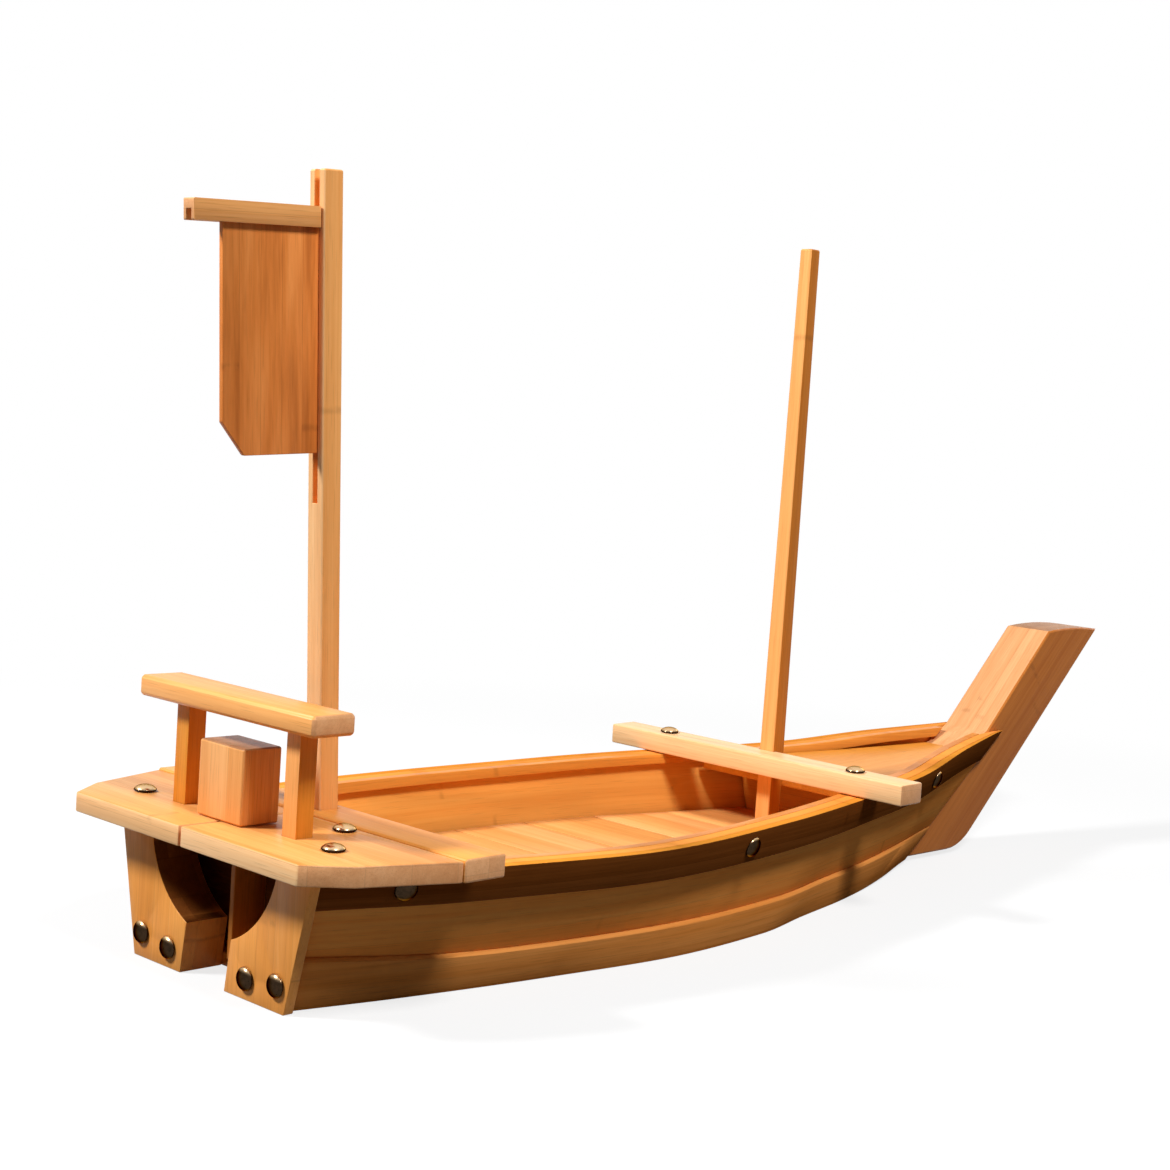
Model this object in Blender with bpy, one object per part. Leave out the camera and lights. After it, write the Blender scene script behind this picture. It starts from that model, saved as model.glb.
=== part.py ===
"""Wooden sushi boat: a planked serving boat with a stern deck, rudder, masts and a lift-out floor.

The hull is drawn from the stern edge of the deck (station 0) to the tip of the stem, and is then moved so
that the origin lies under its middle, on the table. +X points to the bow, +Y to port and +Z up.
"""

import math

import bmesh
import bpy
from mathutils import Matrix, Vector

MM = 0.001

# Clearances
GAP = 0.3 * MM
SOCKET_CLEARANCE = 0.35 * MM
LIFT_CLEARANCE = 0.8 * MM
CUT_MARGIN = 3.0 * MM

# Hull lines: pairs of station and half width, or station and height
KEEL_PLAN = (
    (22, 48.5),
    (75, 59.5),
    (153, 71.5),
    (235, 79.5),
    (300, 74.8),
    (347, 63.5),
    (400, 51.5),
    (455, 36.0),
    (495, 22.0),
    (510, 17.0),
)
SHEER_PLAN = (
    (22, 63.0),
    (100, 88.5),
    (195, 98.3),
    (300, 88.3),
    (364, 77.0),
    (415, 64.5),
    (454, 55.0),
    (500, 42.0),
    (551, 29.0),
    (586, 20.5),
    (603, 16.5),
)
SHEER_HEIGHT = ((22, 61.3), (90, 61.3), (200, 59.8), (350, 62.0), (460, 64.2), (535, 70.5), (600, 74.5))
SEAM_HEIGHT = ((22, 23.5), (120, 18.3), (240, 17.8), (400, 18.6), (520, 20.5))
ROCKER_HEIGHT = ((22, 0.0), (380, 0.0), (520, 3.0))
FOREDECK_HEIGHT = ((400, 59.0), (472, 61.4), (532, 63.7), (582, 66.0))
SECTIONS_ALONG_HULL = 60

# Planking
PLANK_THICKNESS = 6.0 * MM
LOWER_STRAKE_PROUD = 2.2 * MM
LOWER_STRAKE_LIP = 2.0 * MM
LOWER_STRAKE_CHAMFER = 1.7 * MM
WALE_THICKNESS = 5.0 * MM
WALE_HEIGHT = 16.0 * MM
RAIL_WIDTH = 5.0 * MM
RAIL_HEIGHT = 5.0 * MM
BOTTOM_THICKNESS = 6.0 * MM
PLANED_EDGE = 1.2 * MM
PLANING_START = 0.84
PLANED_SHARE = 0.24

# Stem post
STEM_HALF_THICKNESS = 16.0 * MM
STEM_REACH = 109.5 * MM
STEM_HEIGHT = 135.3 * MM
STEM_CROWN = 1.5 * MM
STEM_TOP_WIDTH = 59.0 * MM
STEM_RAKE = 47.0
STEM_FOOT_RADIUS = 14.0 * MM
STEM_PLANK_LAP = 12.0 * MM
STEM_EDGE_BEVEL = 1.0 * MM
PLANK_END_FOOT = 505.0 * MM
PLANK_END_SLOPE = 0.55
PLANK_END_CURVE = 10.0

# Transom legs
LEG_STATION = 17.5 * MM
LEG_LIP = 5.0 * MM
LEG_DEPTH = 22.0 * MM
LEG_REVEAL = 6.0 * MM
LEG_SLOT_HALF = 16.2 * MM
LEG_SLOT_LEAN = 3.0 * MM
LEG_ARCH_RADIUS = 46.0 * MM
LEG_ARCH_CENTRE = 66.0 * MM
LEG_ARCH_STEPS = 12

# Stern deck
DECK_THICKNESS = 9.1 * MM
DECK_LENGTH = 62.8 * MM
DECK_STERN_HALF = 80.4 * MM
DECK_CORNER_LENGTH = 18.7 * MM
DECK_CORNER_HALF = 94.4 * MM
DECK_FRONT_HALF = 109.2 * MM
DECK_KERF = 1.4 * MM
DECK_EDGE_BEVEL = 0.8 * MM

# Rudder
RUDDER_HEAD_STATION = 19.4 * MM
RUDDER_HEAD_LENGTH = 20.2 * MM
RUDDER_HEAD_WIDTH = 32.0 * MM
RUDDER_HEAD_HEIGHT = 33.6 * MM
RUDDER_BLADE_STATION = 29.0 * MM
RUDDER_BLADE_LENGTH = 17.0 * MM
RUDDER_BLADE_THICKNESS = 3.0 * MM
RUDDER_BLADE_FOOT = 9.0 * MM
RUDDER_TENON_DEPTH = 12.0 * MM
RUDDER_TENON_SHOULDER = 3.0 * MM
RUDDER_HEAD_BEVEL = 0.8 * MM

# Handrail
RAIL_POST_SIDE = 9.1 * MM
RAIL_POST_STATION = 26.8 * MM
RAIL_POST_OFFSET = 39.7 * MM
RAIL_CLEAR_HEIGHT = 45.5 * MM
RAIL_MORTISE = 4.0 * MM
HANDRAIL_STATION = 18.4 * MM
HANDRAIL_WIDTH = 22.6 * MM
HANDRAIL_HALF = 62.5 * MM
HANDRAIL_THICKNESS = 9.4 * MM
HANDRAIL_BEVEL = 1.6 * MM

# Bulkheads
STERN_BULKHEAD_STATION = 52.0 * MM
FORE_BULKHEAD_AHEAD = 55.7 * MM
BULKHEAD_THICKNESS = 7.0 * MM

# Crossbeams
STERN_BEAM_WIDTH = 22.6 * MM
STERN_BEAM_THICKNESS = 10.0 * MM
STERN_BEAM_HALF = 110.0 * MM
FORE_BEAM_STATION = 374.3 * MM
FORE_BEAM_WIDTH = 18.3 * MM
FORE_BEAM_THICKNESS = 11.0 * MM
FORE_BEAM_HALF = 103.7 * MM
BEAM_BEVEL = 0.9 * MM

# Main mast with yard and sail
MAST_SIDE = 10.6 * MM
MAST_STATION = 75.9 * MM
MAST_RAKE = -3.61
MAST_HEIGHT_ABOVE_DECK = 281.2 * MM
MAST_BEVEL = 0.7 * MM
MAST_STEP_SIDE = 26.0 * MM
MAST_STEP_HEIGHT = 12.0 * MM
MAST_STEP_FLOOR = 4.0 * MM
GROOVE_WIDTH = 3.3 * MM
GROOVE_DEPTH = 3.6 * MM
GROOVE_BELOW_SAIL = 22.0 * MM
YARD_LENGTH = 65.6 * MM
YARD_WIDTH = 7.7 * MM
YARD_HEIGHT = 9.0 * MM
YARD_BELOW_MAST_TOP = 16.0 * MM
SAIL_THICKNESS = 2.6 * MM
SAIL_DEPTH = 49.7 * MM
SAIL_HEIGHT = 96.7 * MM
SAIL_CORNER_LENGTH = 11.4 * MM
SAIL_CORNER_HEIGHT = 14.5 * MM

# Fore mast
FORE_MAST_AHEAD = 20.7 * MM
FORE_MAST_FOOT_SIDE = 10.0 * MM
FORE_MAST_TOP_SIDE = 8.0 * MM
FORE_MAST_TOP = 352.5 * MM

# Floor and foredeck
FLOOR_HEIGHT = 30.0 * MM
FLOOR_THICKNESS = 5.0 * MM
FLOOR_BOARD_COUNT = 6
FLOOR_BOARD_GAP = 1.0 * MM
BATTEN_WIDTH = 8.0 * MM
BATTEN_OFFSET = 34.0 * MM
BATTEN_END_INSET = 12.0 * MM
FOREDECK_THICKNESS = 5.0 * MM

# Dome nails
NAIL_RADIUS = 5.5 * MM
NAIL_HEIGHT = 3.0 * MM
NAIL_SHANK_RADIUS = 1.0 * MM
NAIL_SHANK_LENGTH = 4.0 * MM
NAIL_HOLE_RADIUS = 1.4 * MM
NAIL_SIDES = 16
NAIL_DOME_STEPS = 5
DECK_NAILS = ((28.0, 68.0), (56.0, 40.5))
LEG_NAILS = ((49.2, 11.4), (28.4, 9.2))
WALE_NAIL_STATIONS = (58.5, 264.0, 488.5)
FORE_BEAM_NAIL_OFFSET = 66.7 * MM

# Finishes: colour, roughness, metallic value
FINISHES = {
    "honey_bamboo": ((0.62, 0.36, 0.15), 0.35, 0.0),
    "pale_bamboo": ((0.72, 0.47, 0.24), 0.32, 0.0),
    "dark_bamboo": ((0.42, 0.21, 0.08), 0.40, 0.0),
    "nail_metal": ((0.45, 0.40, 0.33), 0.28, 1.0),
}


def clear_scene():
    """Remove every object that the opened scene holds."""
    for scene_object in list(bpy.data.objects):
        bpy.data.objects.remove(scene_object, do_unlink=True)


def hull_curve(points, x):
    """Height of a smooth line through the points at station x: cubic pieces that never overshoot."""
    stations = [point[0] * MM for point in points]
    values = [point[1] * MM for point in points]
    if x <= stations[0]:
        return values[0]
    if x >= stations[-1]:
        return values[-1]
    steps = [stations[i + 1] - stations[i] for i in range(len(points) - 1)]
    slopes = [(values[i + 1] - values[i]) / steps[i] for i in range(len(points) - 1)]
    tangents = [slopes[0]]
    for before, after in zip(slopes, slopes[1:]):
        tangents.append(0.0 if before * after <= 0 else 2 * before * after / (before + after))
    tangents.append(slopes[-1])
    i = max(index for index in range(len(steps)) if stations[index] <= x)
    t = (x - stations[i]) / steps[i]
    rise = values[i + 1] - values[i]
    bend_in = tangents[i] * steps[i] - rise
    bend_out = rise - tangents[i + 1] * steps[i]
    return values[i] + rise * t + t * (1 - t) * (bend_in * (1 - t) + bend_out * t)


def sheer_height(x):
    """Height of the top edge of the planking at station x."""
    return hull_curve(SHEER_HEIGHT, x)


def plank_end(z):
    """Station where the planks stop on the side of the stem, at height z."""
    return PLANK_END_FOOT + PLANK_END_SLOPE * z + PLANK_END_CURVE * z * z


# Sizes that follow from those above
YARD_TOP = MAST_HEIGHT_ABOVE_DECK - YARD_BELOW_MAST_TOP
MAST_LEAN = math.radians(MAST_RAKE)
YARD_END = MAST_STATION - (MAST_SIDE / 2 + YARD_LENGTH) * math.cos(MAST_LEAN) + YARD_TOP * math.sin(MAST_LEAN)
STEM_TIP = plank_end(SHEER_HEIGHT[-1][1] * MM) + STEM_REACH
MIDDLE = (STEM_TIP + min(0.0, YARD_END)) / 2
PLANK_START = LEG_STATION + LEG_LIP + GAP
FORE_MAST_STATION = FORE_BEAM_STATION + FORE_MAST_AHEAD
FORE_BULKHEAD_STATION = FORE_BEAM_STATION + FORE_BULKHEAD_AHEAD


def stem_back(z):
    """Station of the stem's hidden back edge inside the hull, at height z."""
    return plank_end(z) - STEM_PLANK_LAP


def side_line(share):
    """Foot and head of the straight line across the planking at a share of the way from legs to stem."""
    lap = STEM_HALF_THICKNESS + GAP + PLANED_EDGE
    ends = []
    for height, plan in ((ROCKER_HEIGHT, KEEL_PLAN), (SHEER_HEIGHT, SHEER_PLAN)):
        x = PLANK_START
        for _ in range(8):
            x = PLANK_START + share * (plank_end(hull_curve(height, x)) - PLANK_START)
        ends.append(Vector((x, max(hull_curve(plan, x), lap), hull_curve(height, x))))
    return ends


def side_point(share, z):
    """Point of the planking's outer face at a share of the hull and a height."""
    foot, head = side_line(share)
    return foot.lerp(head, (z - foot.z) / (head.z - foot.z))


def share_at(x, z):
    """Share of the hull whose planking line passes station x at height z, found by halving."""
    low, high = 0.0, 1.0
    for _ in range(24):
        middle = (low + high) / 2
        if side_point(middle, z).x < x:
            low = middle
        else:
            high = middle
    return (low + high) / 2


def plank_face(x, z):
    """Half width to the outer face of the upper strake at station x and height z."""
    return side_point(share_at(x, z), z).y


def inner_face(outer):
    """Half width to the inner face of a plank, which is planed flat where it lies on the stem."""
    return max(outer - PLANK_THICKNESS, STEM_HALF_THICKNESS + GAP)


def plank_inside(x, z):
    """Half width to the inner face of the planking at station x and height z."""
    return inner_face(plank_face(x, z))


def planed(share, thickness):
    """Thickness left at a share of the hull: full amidships, planed thin towards the stem."""
    progress = max(0.0, (share - PLANING_START) / (1.0 - PLANING_START))
    return thickness * (1.0 - (1.0 - PLANED_SHARE) * progress)


DECK_BOTTOM = sheer_height(PLANK_START) + GAP
DECK_TOP = DECK_BOTTOM + DECK_THICKNESS
STERN_BEAM_STATION = DECK_LENGTH + GAP
STERN_BEAM_BOTTOM = sheer_height(STERN_BEAM_STATION) + GAP
STERN_BEAM_TOP = STERN_BEAM_BOTTOM + STERN_BEAM_THICKNESS
RAIL_START = STERN_BULKHEAD_STATION + BULKHEAD_THICKNESS + GAP
FLOOR_START = STERN_BEAM_STATION + STERN_BEAM_WIDTH + LIFT_CLEARANCE
FLOOR_END = FORE_BEAM_STATION - LIFT_CLEARANCE - GAP
FORE_MAST_HALF = FORE_MAST_FOOT_SIDE / 2 + SOCKET_CLEARANCE


def finish(name):
    """Principled material for a named finish."""
    material = bpy.data.materials.get(name)
    if material is None:
        colour, roughness, metallic = FINISHES[name]
        material = bpy.data.materials.new(name)
        material.use_nodes = True
        shader = material.node_tree.nodes["Principled BSDF"]
        shader.inputs["Base Color"].default_value = (*colour, 1.0)
        shader.inputs["Roughness"].default_value = roughness
        shader.inputs["Metallic"].default_value = metallic
    return material


def make_object(name, mesh_data, material, origin=(MIDDLE, 0.0, 0.0), smooth=False):
    """Turn a bmesh drawn in hull stations into a named object whose origin lies at the given hull point."""
    bmesh.ops.recalc_face_normals(mesh_data, faces=mesh_data.faces)
    bmesh.ops.translate(mesh_data, vec=-Vector(origin), verts=mesh_data.verts)
    mesh = bpy.data.meshes.new(name)
    mesh_data.to_mesh(mesh)
    mesh_data.free()
    mesh.materials.append(finish(material))
    for polygon in mesh.polygons:
        polygon.use_smooth = smooth
    part = bpy.data.objects.new(name, mesh)
    part.location = Vector(origin) - Vector((MIDDLE, 0.0, 0.0))
    bpy.context.scene.collection.objects.link(part)
    return part


def add_bevel(part, width, segments=2):
    """Round the edges of a part."""
    bevel = part.modifiers.new("edges", "BEVEL")
    bevel.width = width
    bevel.segments = segments
    bevel.limit_method = "ANGLE"
    bevel.angle_limit = math.radians(50)
    return bevel


def cut(part, mesh_data, label):
    """Cut a helper shape, drawn in hull stations, out of a part."""
    helper = make_object(f"{part.name}_{label}", mesh_data, "dark_bamboo")
    helper.hide_render = True
    helper.display_type = "WIRE"
    boolean = part.modifiers.new(label, "BOOLEAN")
    boolean.operation = "DIFFERENCE"
    boolean.solver = "EXACT"
    boolean.object = helper


def box_mesh(low, high):
    """Box between two corners, as a bmesh."""
    mesh_data = bmesh.new()
    centre = (Vector(low) + Vector(high)) / 2
    size = Vector(high) - Vector(low)
    place = Matrix.Translation(centre) @ Matrix.Diagonal((*size, 1.0))
    bmesh.ops.create_cube(mesh_data, size=1.0, matrix=place)
    return mesh_data


def loft_mesh(rings):
    """Closed solid through rings with the same number of corners, with flat end caps."""
    mesh_data = bmesh.new()
    loops = [[mesh_data.verts.new(corner) for corner in ring] for ring in rings]
    count = len(loops[0])
    for ring, following in zip(loops, loops[1:]):
        for i in range(count):
            j = (i + 1) % count
            mesh_data.faces.new((ring[i], ring[j], following[j], following[i]))
    mesh_data.faces.new(list(reversed(loops[0])))
    mesh_data.faces.new(loops[-1])
    return mesh_data


def prism_mesh(outline, place, low, high):
    """Extrude a flat outline of (a, b) pairs from low to high; place(a, b, depth) gives each corner."""
    return loft_mesh([[place(a, b, depth) for a, b in outline] for depth in (low, high)])


def in_section(y, z, x):
    """Corner of an outline drawn across the hull."""
    return (x, y, z)


def in_profile(x, z, y):
    """Corner of an outline drawn in the side view."""
    return (x, y, z)


def in_plan(x, y, z):
    """Corner of an outline drawn in the top view."""
    return (x, y, z)


def strake_mesh(side, corners, first=0.0, last=1.0):
    """Plank along the hull, from one share of its length to another.

    Each corner of its section is an edge line, which gives a height for a station, and a face, which gives
    its half width from the half width of the planking's outer face and the share of the hull.
    """
    steps = [step / SECTIONS_ALONG_HULL for step in range(SECTIONS_ALONG_HULL + 1)]
    margin = 0.2 / SECTIONS_ALONG_HULL
    shares = [first] + [share for share in steps if first + margin < share < last - margin] + [last]
    rings = []
    for share in shares:
        ring = []
        for edge, face in corners:
            point = side_point(share, edge(PLANK_START))
            for _ in range(6):
                point = side_point(share, edge(point.x))
            ring.append((point.x, side * face(point.y, share), point.z))
        rings.append(ring)
    return loft_mesh(rings)


def outside(outer, share):
    """Outer face of the upper strake."""
    return outer


def inside(outer, share):
    """Inner face of both strakes."""
    return inner_face(outer)


def lapping(outer, share):
    """Face of a piece that laps the upper strake's outer face."""
    return outer + GAP


def lower_front(outer, share):
    """Outer face of the lower strake, which stands proud of the upper one."""
    return outer + GAP + planed(share, LOWER_STRAKE_PROUD)


def chamfer_back(outer, share):
    """Upper end of the lower strake's chamfer, where the top of its lip is left flat."""
    return outer + GAP + planed(share, LOWER_STRAKE_PROUD - LOWER_STRAKE_CHAMFER)


def wale_front(outer, share):
    """Outer face of the wale."""
    return outer + GAP + planed(share, WALE_THICKNESS)


def rail_back(outer, share):
    """Face of the inner rail that lies on the upper strake."""
    return inner_face(outer) - GAP


def rail_front(outer, share):
    """Face of the inner rail towards the well."""
    return inner_face(outer) - GAP - RAIL_WIDTH


def seam_low(x):
    """Ledge of the lower strake, on which the upper strake stands."""
    return hull_curve(SEAM_HEIGHT, x) - LOWER_STRAKE_LIP


def lip_top(x):
    """Top of the lower strake's lip, which covers the seam from outside."""
    return hull_curve(SEAM_HEIGHT, x)


def chamfer_low(x):
    """Lower end of the chamfer on the lower strake's lip."""
    return lip_top(x) - LOWER_STRAKE_CHAMFER


def seam_high(x):
    """Bottom edge of the upper strake."""
    return seam_low(x) + GAP


def rocker(x):
    """Bottom edge of the lower strake."""
    return hull_curve(ROCKER_HEIGHT, x)


def wale_low(x):
    """Bottom edge of the wale."""
    return sheer_height(x) - WALE_HEIGHT


def rail_low(x):
    """Bottom edge of the inner rail."""
    return sheer_height(x) - RAIL_HEIGHT


def build_planking(side, side_name):
    """Lower strake, upper strake, wale and inner rail on one side of the hull."""
    lower_corners = (
        (rocker, lower_front),
        (chamfer_low, lower_front),
        (lip_top, chamfer_back),
        (lip_top, lapping),
        (seam_low, lapping),
        (seam_low, inside),
        (rocker, inside),
    )
    make_object(f"lower_strake_{side_name}", strake_mesh(side, lower_corners), "honey_bamboo")

    outer_corners = ((seam_high, outside), (wale_low, outside), (sheer_height, outside))
    inner_corners = ((sheer_height, inside), (rail_low, inside), (seam_high, inside))
    upper_mesh = strake_mesh(side, outer_corners + inner_corners)
    make_object(f"upper_strake_{side_name}", upper_mesh, "honey_bamboo")

    wale_corners = (
        (wale_low, wale_front),
        (sheer_height, wale_front),
        (sheer_height, lapping),
        (wale_low, lapping),
    )
    wale = make_object(f"wale_{side_name}", strake_mesh(side, wale_corners), "honey_bamboo")

    rail_corners = (
        (rail_low, rail_back),
        (sheer_height, rail_back),
        (sheer_height, rail_front),
        (rail_low, rail_front),
    )
    rail_first = share_at(RAIL_START, rail_low(RAIL_START))
    rail_last = share_at(stem_back(rail_low(PLANK_END_FOOT)) - GAP, rail_low(PLANK_END_FOOT))
    rail_mesh = strake_mesh(side, rail_corners, rail_first, rail_last)
    make_object(f"inner_rail_{side_name}", rail_mesh, "pale_bamboo")

    for number, station in enumerate(WALE_NAIL_STATIONS, start=1):
        x = station * MM
        z = sheer_height(x) - WALE_HEIGHT / 2
        step = NAIL_SHANK_RADIUS
        slope_x = (plank_face(x + step, z) - plank_face(x - step, z)) / (2 * step)
        slope_z = (plank_face(x, z + step) - plank_face(x, z - step)) / (2 * step)
        outward = Vector((-slope_x, side, -slope_z)).normalized()
        seat = Vector((x, side * wale_front(plank_face(x, z), share_at(x, z)), z))
        drive_nail(f"wale_nail_{side_name}_{number}", seat, outward, wale)


def drive_nail(name, seat, outward, carrier):
    """Dome nail standing on a surface point, with its shank in a hole bored in the carrier."""
    turn = outward.to_track_quat("Z", "Y").to_matrix().to_4x4()
    place = Matrix.Translation(seat) @ turn
    profile = [(0.0, -NAIL_SHANK_LENGTH), (NAIL_SHANK_RADIUS, -NAIL_SHANK_LENGTH), (NAIL_SHANK_RADIUS, GAP)]
    for step in range(NAIL_DOME_STEPS + 1):
        angle = step / NAIL_DOME_STEPS * math.pi / 2
        profile.append((NAIL_RADIUS * math.cos(angle), GAP + NAIL_HEIGHT * math.sin(angle)))
    mesh_data = bmesh.new()
    points = [mesh_data.verts.new((radius, 0.0, height)) for radius, height in profile]
    edges = [mesh_data.edges.new(pair) for pair in zip(points, points[1:])]
    bmesh.ops.spin(
        mesh_data,
        geom=points + edges,
        axis=(0.0, 0.0, 1.0),
        cent=(0.0, 0.0, 0.0),
        angle=2 * math.pi,
        steps=NAIL_SIDES,
        use_merge=True,
    )
    bmesh.ops.remove_doubles(mesh_data, verts=mesh_data.verts, dist=1e-6)
    bmesh.ops.transform(mesh_data, matrix=place, verts=mesh_data.verts)
    make_object(name, mesh_data, "nail_metal", smooth=True)

    hole = bmesh.new()
    depth = NAIL_SHANK_LENGTH + GAP
    bmesh.ops.create_cone(
        hole,
        cap_ends=True,
        segments=8,
        radius1=NAIL_HOLE_RADIUS,
        radius2=NAIL_HOLE_RADIUS,
        depth=depth + CUT_MARGIN,
        matrix=place @ Matrix.Translation((0.0, 0.0, (CUT_MARGIN - depth) / 2)),
    )
    cut(carrier, hole, f"hole_of_{name}")


def build_bottom():
    """Flat bottom board between the lower strakes, from the legs to the stem."""
    start = LEG_STATION + LEG_DEPTH + GAP
    end = stem_back(0.0) - GAP
    stations = [start + (end - start) * step / SECTIONS_ALONG_HULL for step in range(SECTIONS_ALONG_HULL + 1)]
    rings = []
    for x in stations:
        base = hull_curve(ROCKER_HEIGHT, x)
        half = plank_inside(x, 0.0) - GAP
        rings.append(
            [
                (x, -half, base),
                (x, half, base),
                (x, half, base + BOTTOM_THICKNESS),
                (x, -half, base + BOTTOM_THICKNESS),
            ]
        )
    make_object("bottom_board", loft_mesh(rings), "honey_bamboo")


def build_stem():
    """Raked stem post with a rounded forefoot and a back edge that widens inside the hull."""
    lean = math.tan(math.radians(STEM_RAKE))
    foot = hull_curve(ROCKER_HEIGHT, STEM_TIP)
    front_foot = STEM_TIP - (STEM_HEIGHT - foot) * lean
    joint = sheer_height(plank_end(sheer_height(STEM_TIP)))
    outline = [(stem_back(foot), foot)]
    turn_steps = 5
    reach = STEM_FOOT_RADIUS
    heel = Vector((front_foot, foot))
    along = Vector((math.sin(math.radians(STEM_RAKE)), math.cos(math.radians(STEM_RAKE))))
    first = heel - Vector((reach, 0.0))
    last = heel + along * reach
    for step in range(turn_steps + 1):
        t = step / turn_steps
        point = first * (1 - t) ** 2 + heel * 2 * t * (1 - t) + last * t**2
        outline.append(tuple(point))
    crown_steps = 6
    for step in range(crown_steps + 1):
        t = step / crown_steps
        outline.append((STEM_TIP - STEM_TOP_WIDTH * t, STEM_HEIGHT + STEM_CROWN * 4 * t * (1 - t)))
    for step in range(7):
        z = joint - (joint - foot) * step / 7
        outline.append((stem_back(z), z))
    mesh_data = prism_mesh(outline, in_profile, -STEM_HALF_THICKNESS, STEM_HALF_THICKNESS)
    stem = make_object("stem_post", mesh_data, "honey_bamboo")
    weights = stem.data.attributes.new("bevel_weight_edge", "FLOAT", "EDGE")
    for edge in stem.data.edges:
        start, end = (stem.data.vertices[index].co for index in edge.vertices)
        weights.data[edge.index].value = float(abs(start.y - end.y) < GAP)
    add_bevel(stem, STEM_EDGE_BEVEL, 1).limit_method = "WEIGHT"


def build_leg(side, side_name):
    """Transom leg: half of the arched stern board, rebated where the planks lie on it."""
    top = DECK_BOTTOM - GAP
    first = math.asin(LEG_SLOT_HALF / LEG_ARCH_RADIUS)
    last = math.acos((LEG_ARCH_CENTRE - top) / LEG_ARCH_RADIUS)
    outline = [(LEG_SLOT_HALF + side * LEG_SLOT_LEAN, 0.0)]
    for step in range(LEG_ARCH_STEPS + 1):
        angle = first + (last - first) * step / LEG_ARCH_STEPS
        outline.append((LEG_ARCH_RADIUS * math.sin(angle), LEG_ARCH_CENTRE - LEG_ARCH_RADIUS * math.cos(angle)))
    outline.append((plank_face(PLANK_START, top) + LEG_REVEAL, top))
    outline.append((plank_face(PLANK_START, 0.0) + LEG_REVEAL, 0.0))
    outline = [(side * y, z) for y, z in outline]
    leg_mesh = prism_mesh(outline, in_section, LEG_STATION, LEG_STATION + LEG_DEPTH)
    leg = make_object(f"transom_leg_{side_name}", leg_mesh, "honey_bamboo")

    below = -CUT_MARGIN
    above = top + CUT_MARGIN
    clear = plank_face(PLANK_START, top) + LEG_REVEAL + CUT_MARGIN
    rebate = [
        (side * (plank_inside(PLANK_START, below) - GAP), below),
        (side * (plank_inside(PLANK_START, above) - GAP), above),
        (side * clear, above),
        (side * clear, below),
    ]
    start = LEG_STATION + LEG_LIP
    cut(leg, prism_mesh(rebate, in_section, start, LEG_STATION + LEG_DEPTH + CUT_MARGIN), "plank_rebate")
    for number, (offset, height) in enumerate(LEG_NAILS, start=1):
        seat = Vector((LEG_STATION, side * offset * MM, height * MM))
        drive_nail(f"leg_nail_{side_name}_{number}", seat, Vector((-1.0, 0.0, 0.0)), leg)


def build_bulkhead(name, station, top):
    """Board across the hull between the planks, standing on the bottom board."""
    foot = hull_curve(ROCKER_HEIGHT, station + BULKHEAD_THICKNESS) + BOTTOM_THICKNESS + GAP

    def half(z):
        ends = (station, station + BULKHEAD_THICKNESS)
        return min(plank_inside(x, z) for x in ends) - GAP

    outline = [(-half(foot), foot), (half(foot), foot), (half(top), top), (-half(top), top)]
    board_mesh = prism_mesh(outline, in_section, station, station + BULKHEAD_THICKNESS)
    return make_object(name, board_mesh, "honey_bamboo")


def build_deck_half(side, side_name):
    """One half of the stern deck, with mortises for its handrail post and the rudder slot."""
    kerf = DECK_KERF / 2
    outline = [
        (0.0, kerf),
        (DECK_LENGTH, kerf),
        (DECK_LENGTH, DECK_FRONT_HALF),
        (DECK_CORNER_LENGTH, DECK_CORNER_HALF),
        (0.0, DECK_STERN_HALF),
    ]
    outline = [(x, side * y) for x, y in outline]
    deck_mesh = prism_mesh(outline, in_plan, DECK_BOTTOM, DECK_TOP)
    deck = make_object(f"stern_deck_{side_name}", deck_mesh, "pale_bamboo")
    add_bevel(deck, DECK_EDGE_BEVEL, 2)

    low_x = RAIL_POST_STATION - SOCKET_CLEARANCE
    high_x = RAIL_POST_STATION + RAIL_POST_SIDE + SOCKET_CLEARANCE
    near = RAIL_POST_OFFSET - RAIL_POST_SIDE / 2 - SOCKET_CLEARANCE
    far = RAIL_POST_OFFSET + RAIL_POST_SIDE / 2 + SOCKET_CLEARANCE
    y_low, y_high = sorted((side * near, side * far))
    mortise = box_mesh((low_x, y_low, DECK_TOP - RAIL_MORTISE), (high_x, y_high, DECK_TOP + CUT_MARGIN))
    cut(deck, mortise, "post_mortise")

    slot_half = RUDDER_BLADE_THICKNESS / 2 + SOCKET_CLEARANCE
    slot = box_mesh(
        (RUDDER_BLADE_STATION - SOCKET_CLEARANCE, -slot_half, DECK_BOTTOM - CUT_MARGIN),
        (RUDDER_BLADE_STATION + RUDDER_BLADE_LENGTH + SOCKET_CLEARANCE, slot_half, DECK_TOP + CUT_MARGIN),
    )
    cut(deck, slot, "rudder_slot")
    for number, (station, offset) in enumerate(DECK_NAILS, start=1):
        seat = Vector((station * MM, side * offset * MM, DECK_TOP))
        drive_nail(f"deck_nail_{side_name}_{number}", seat, Vector((0.0, 0.0, 1.0)), deck)


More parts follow.
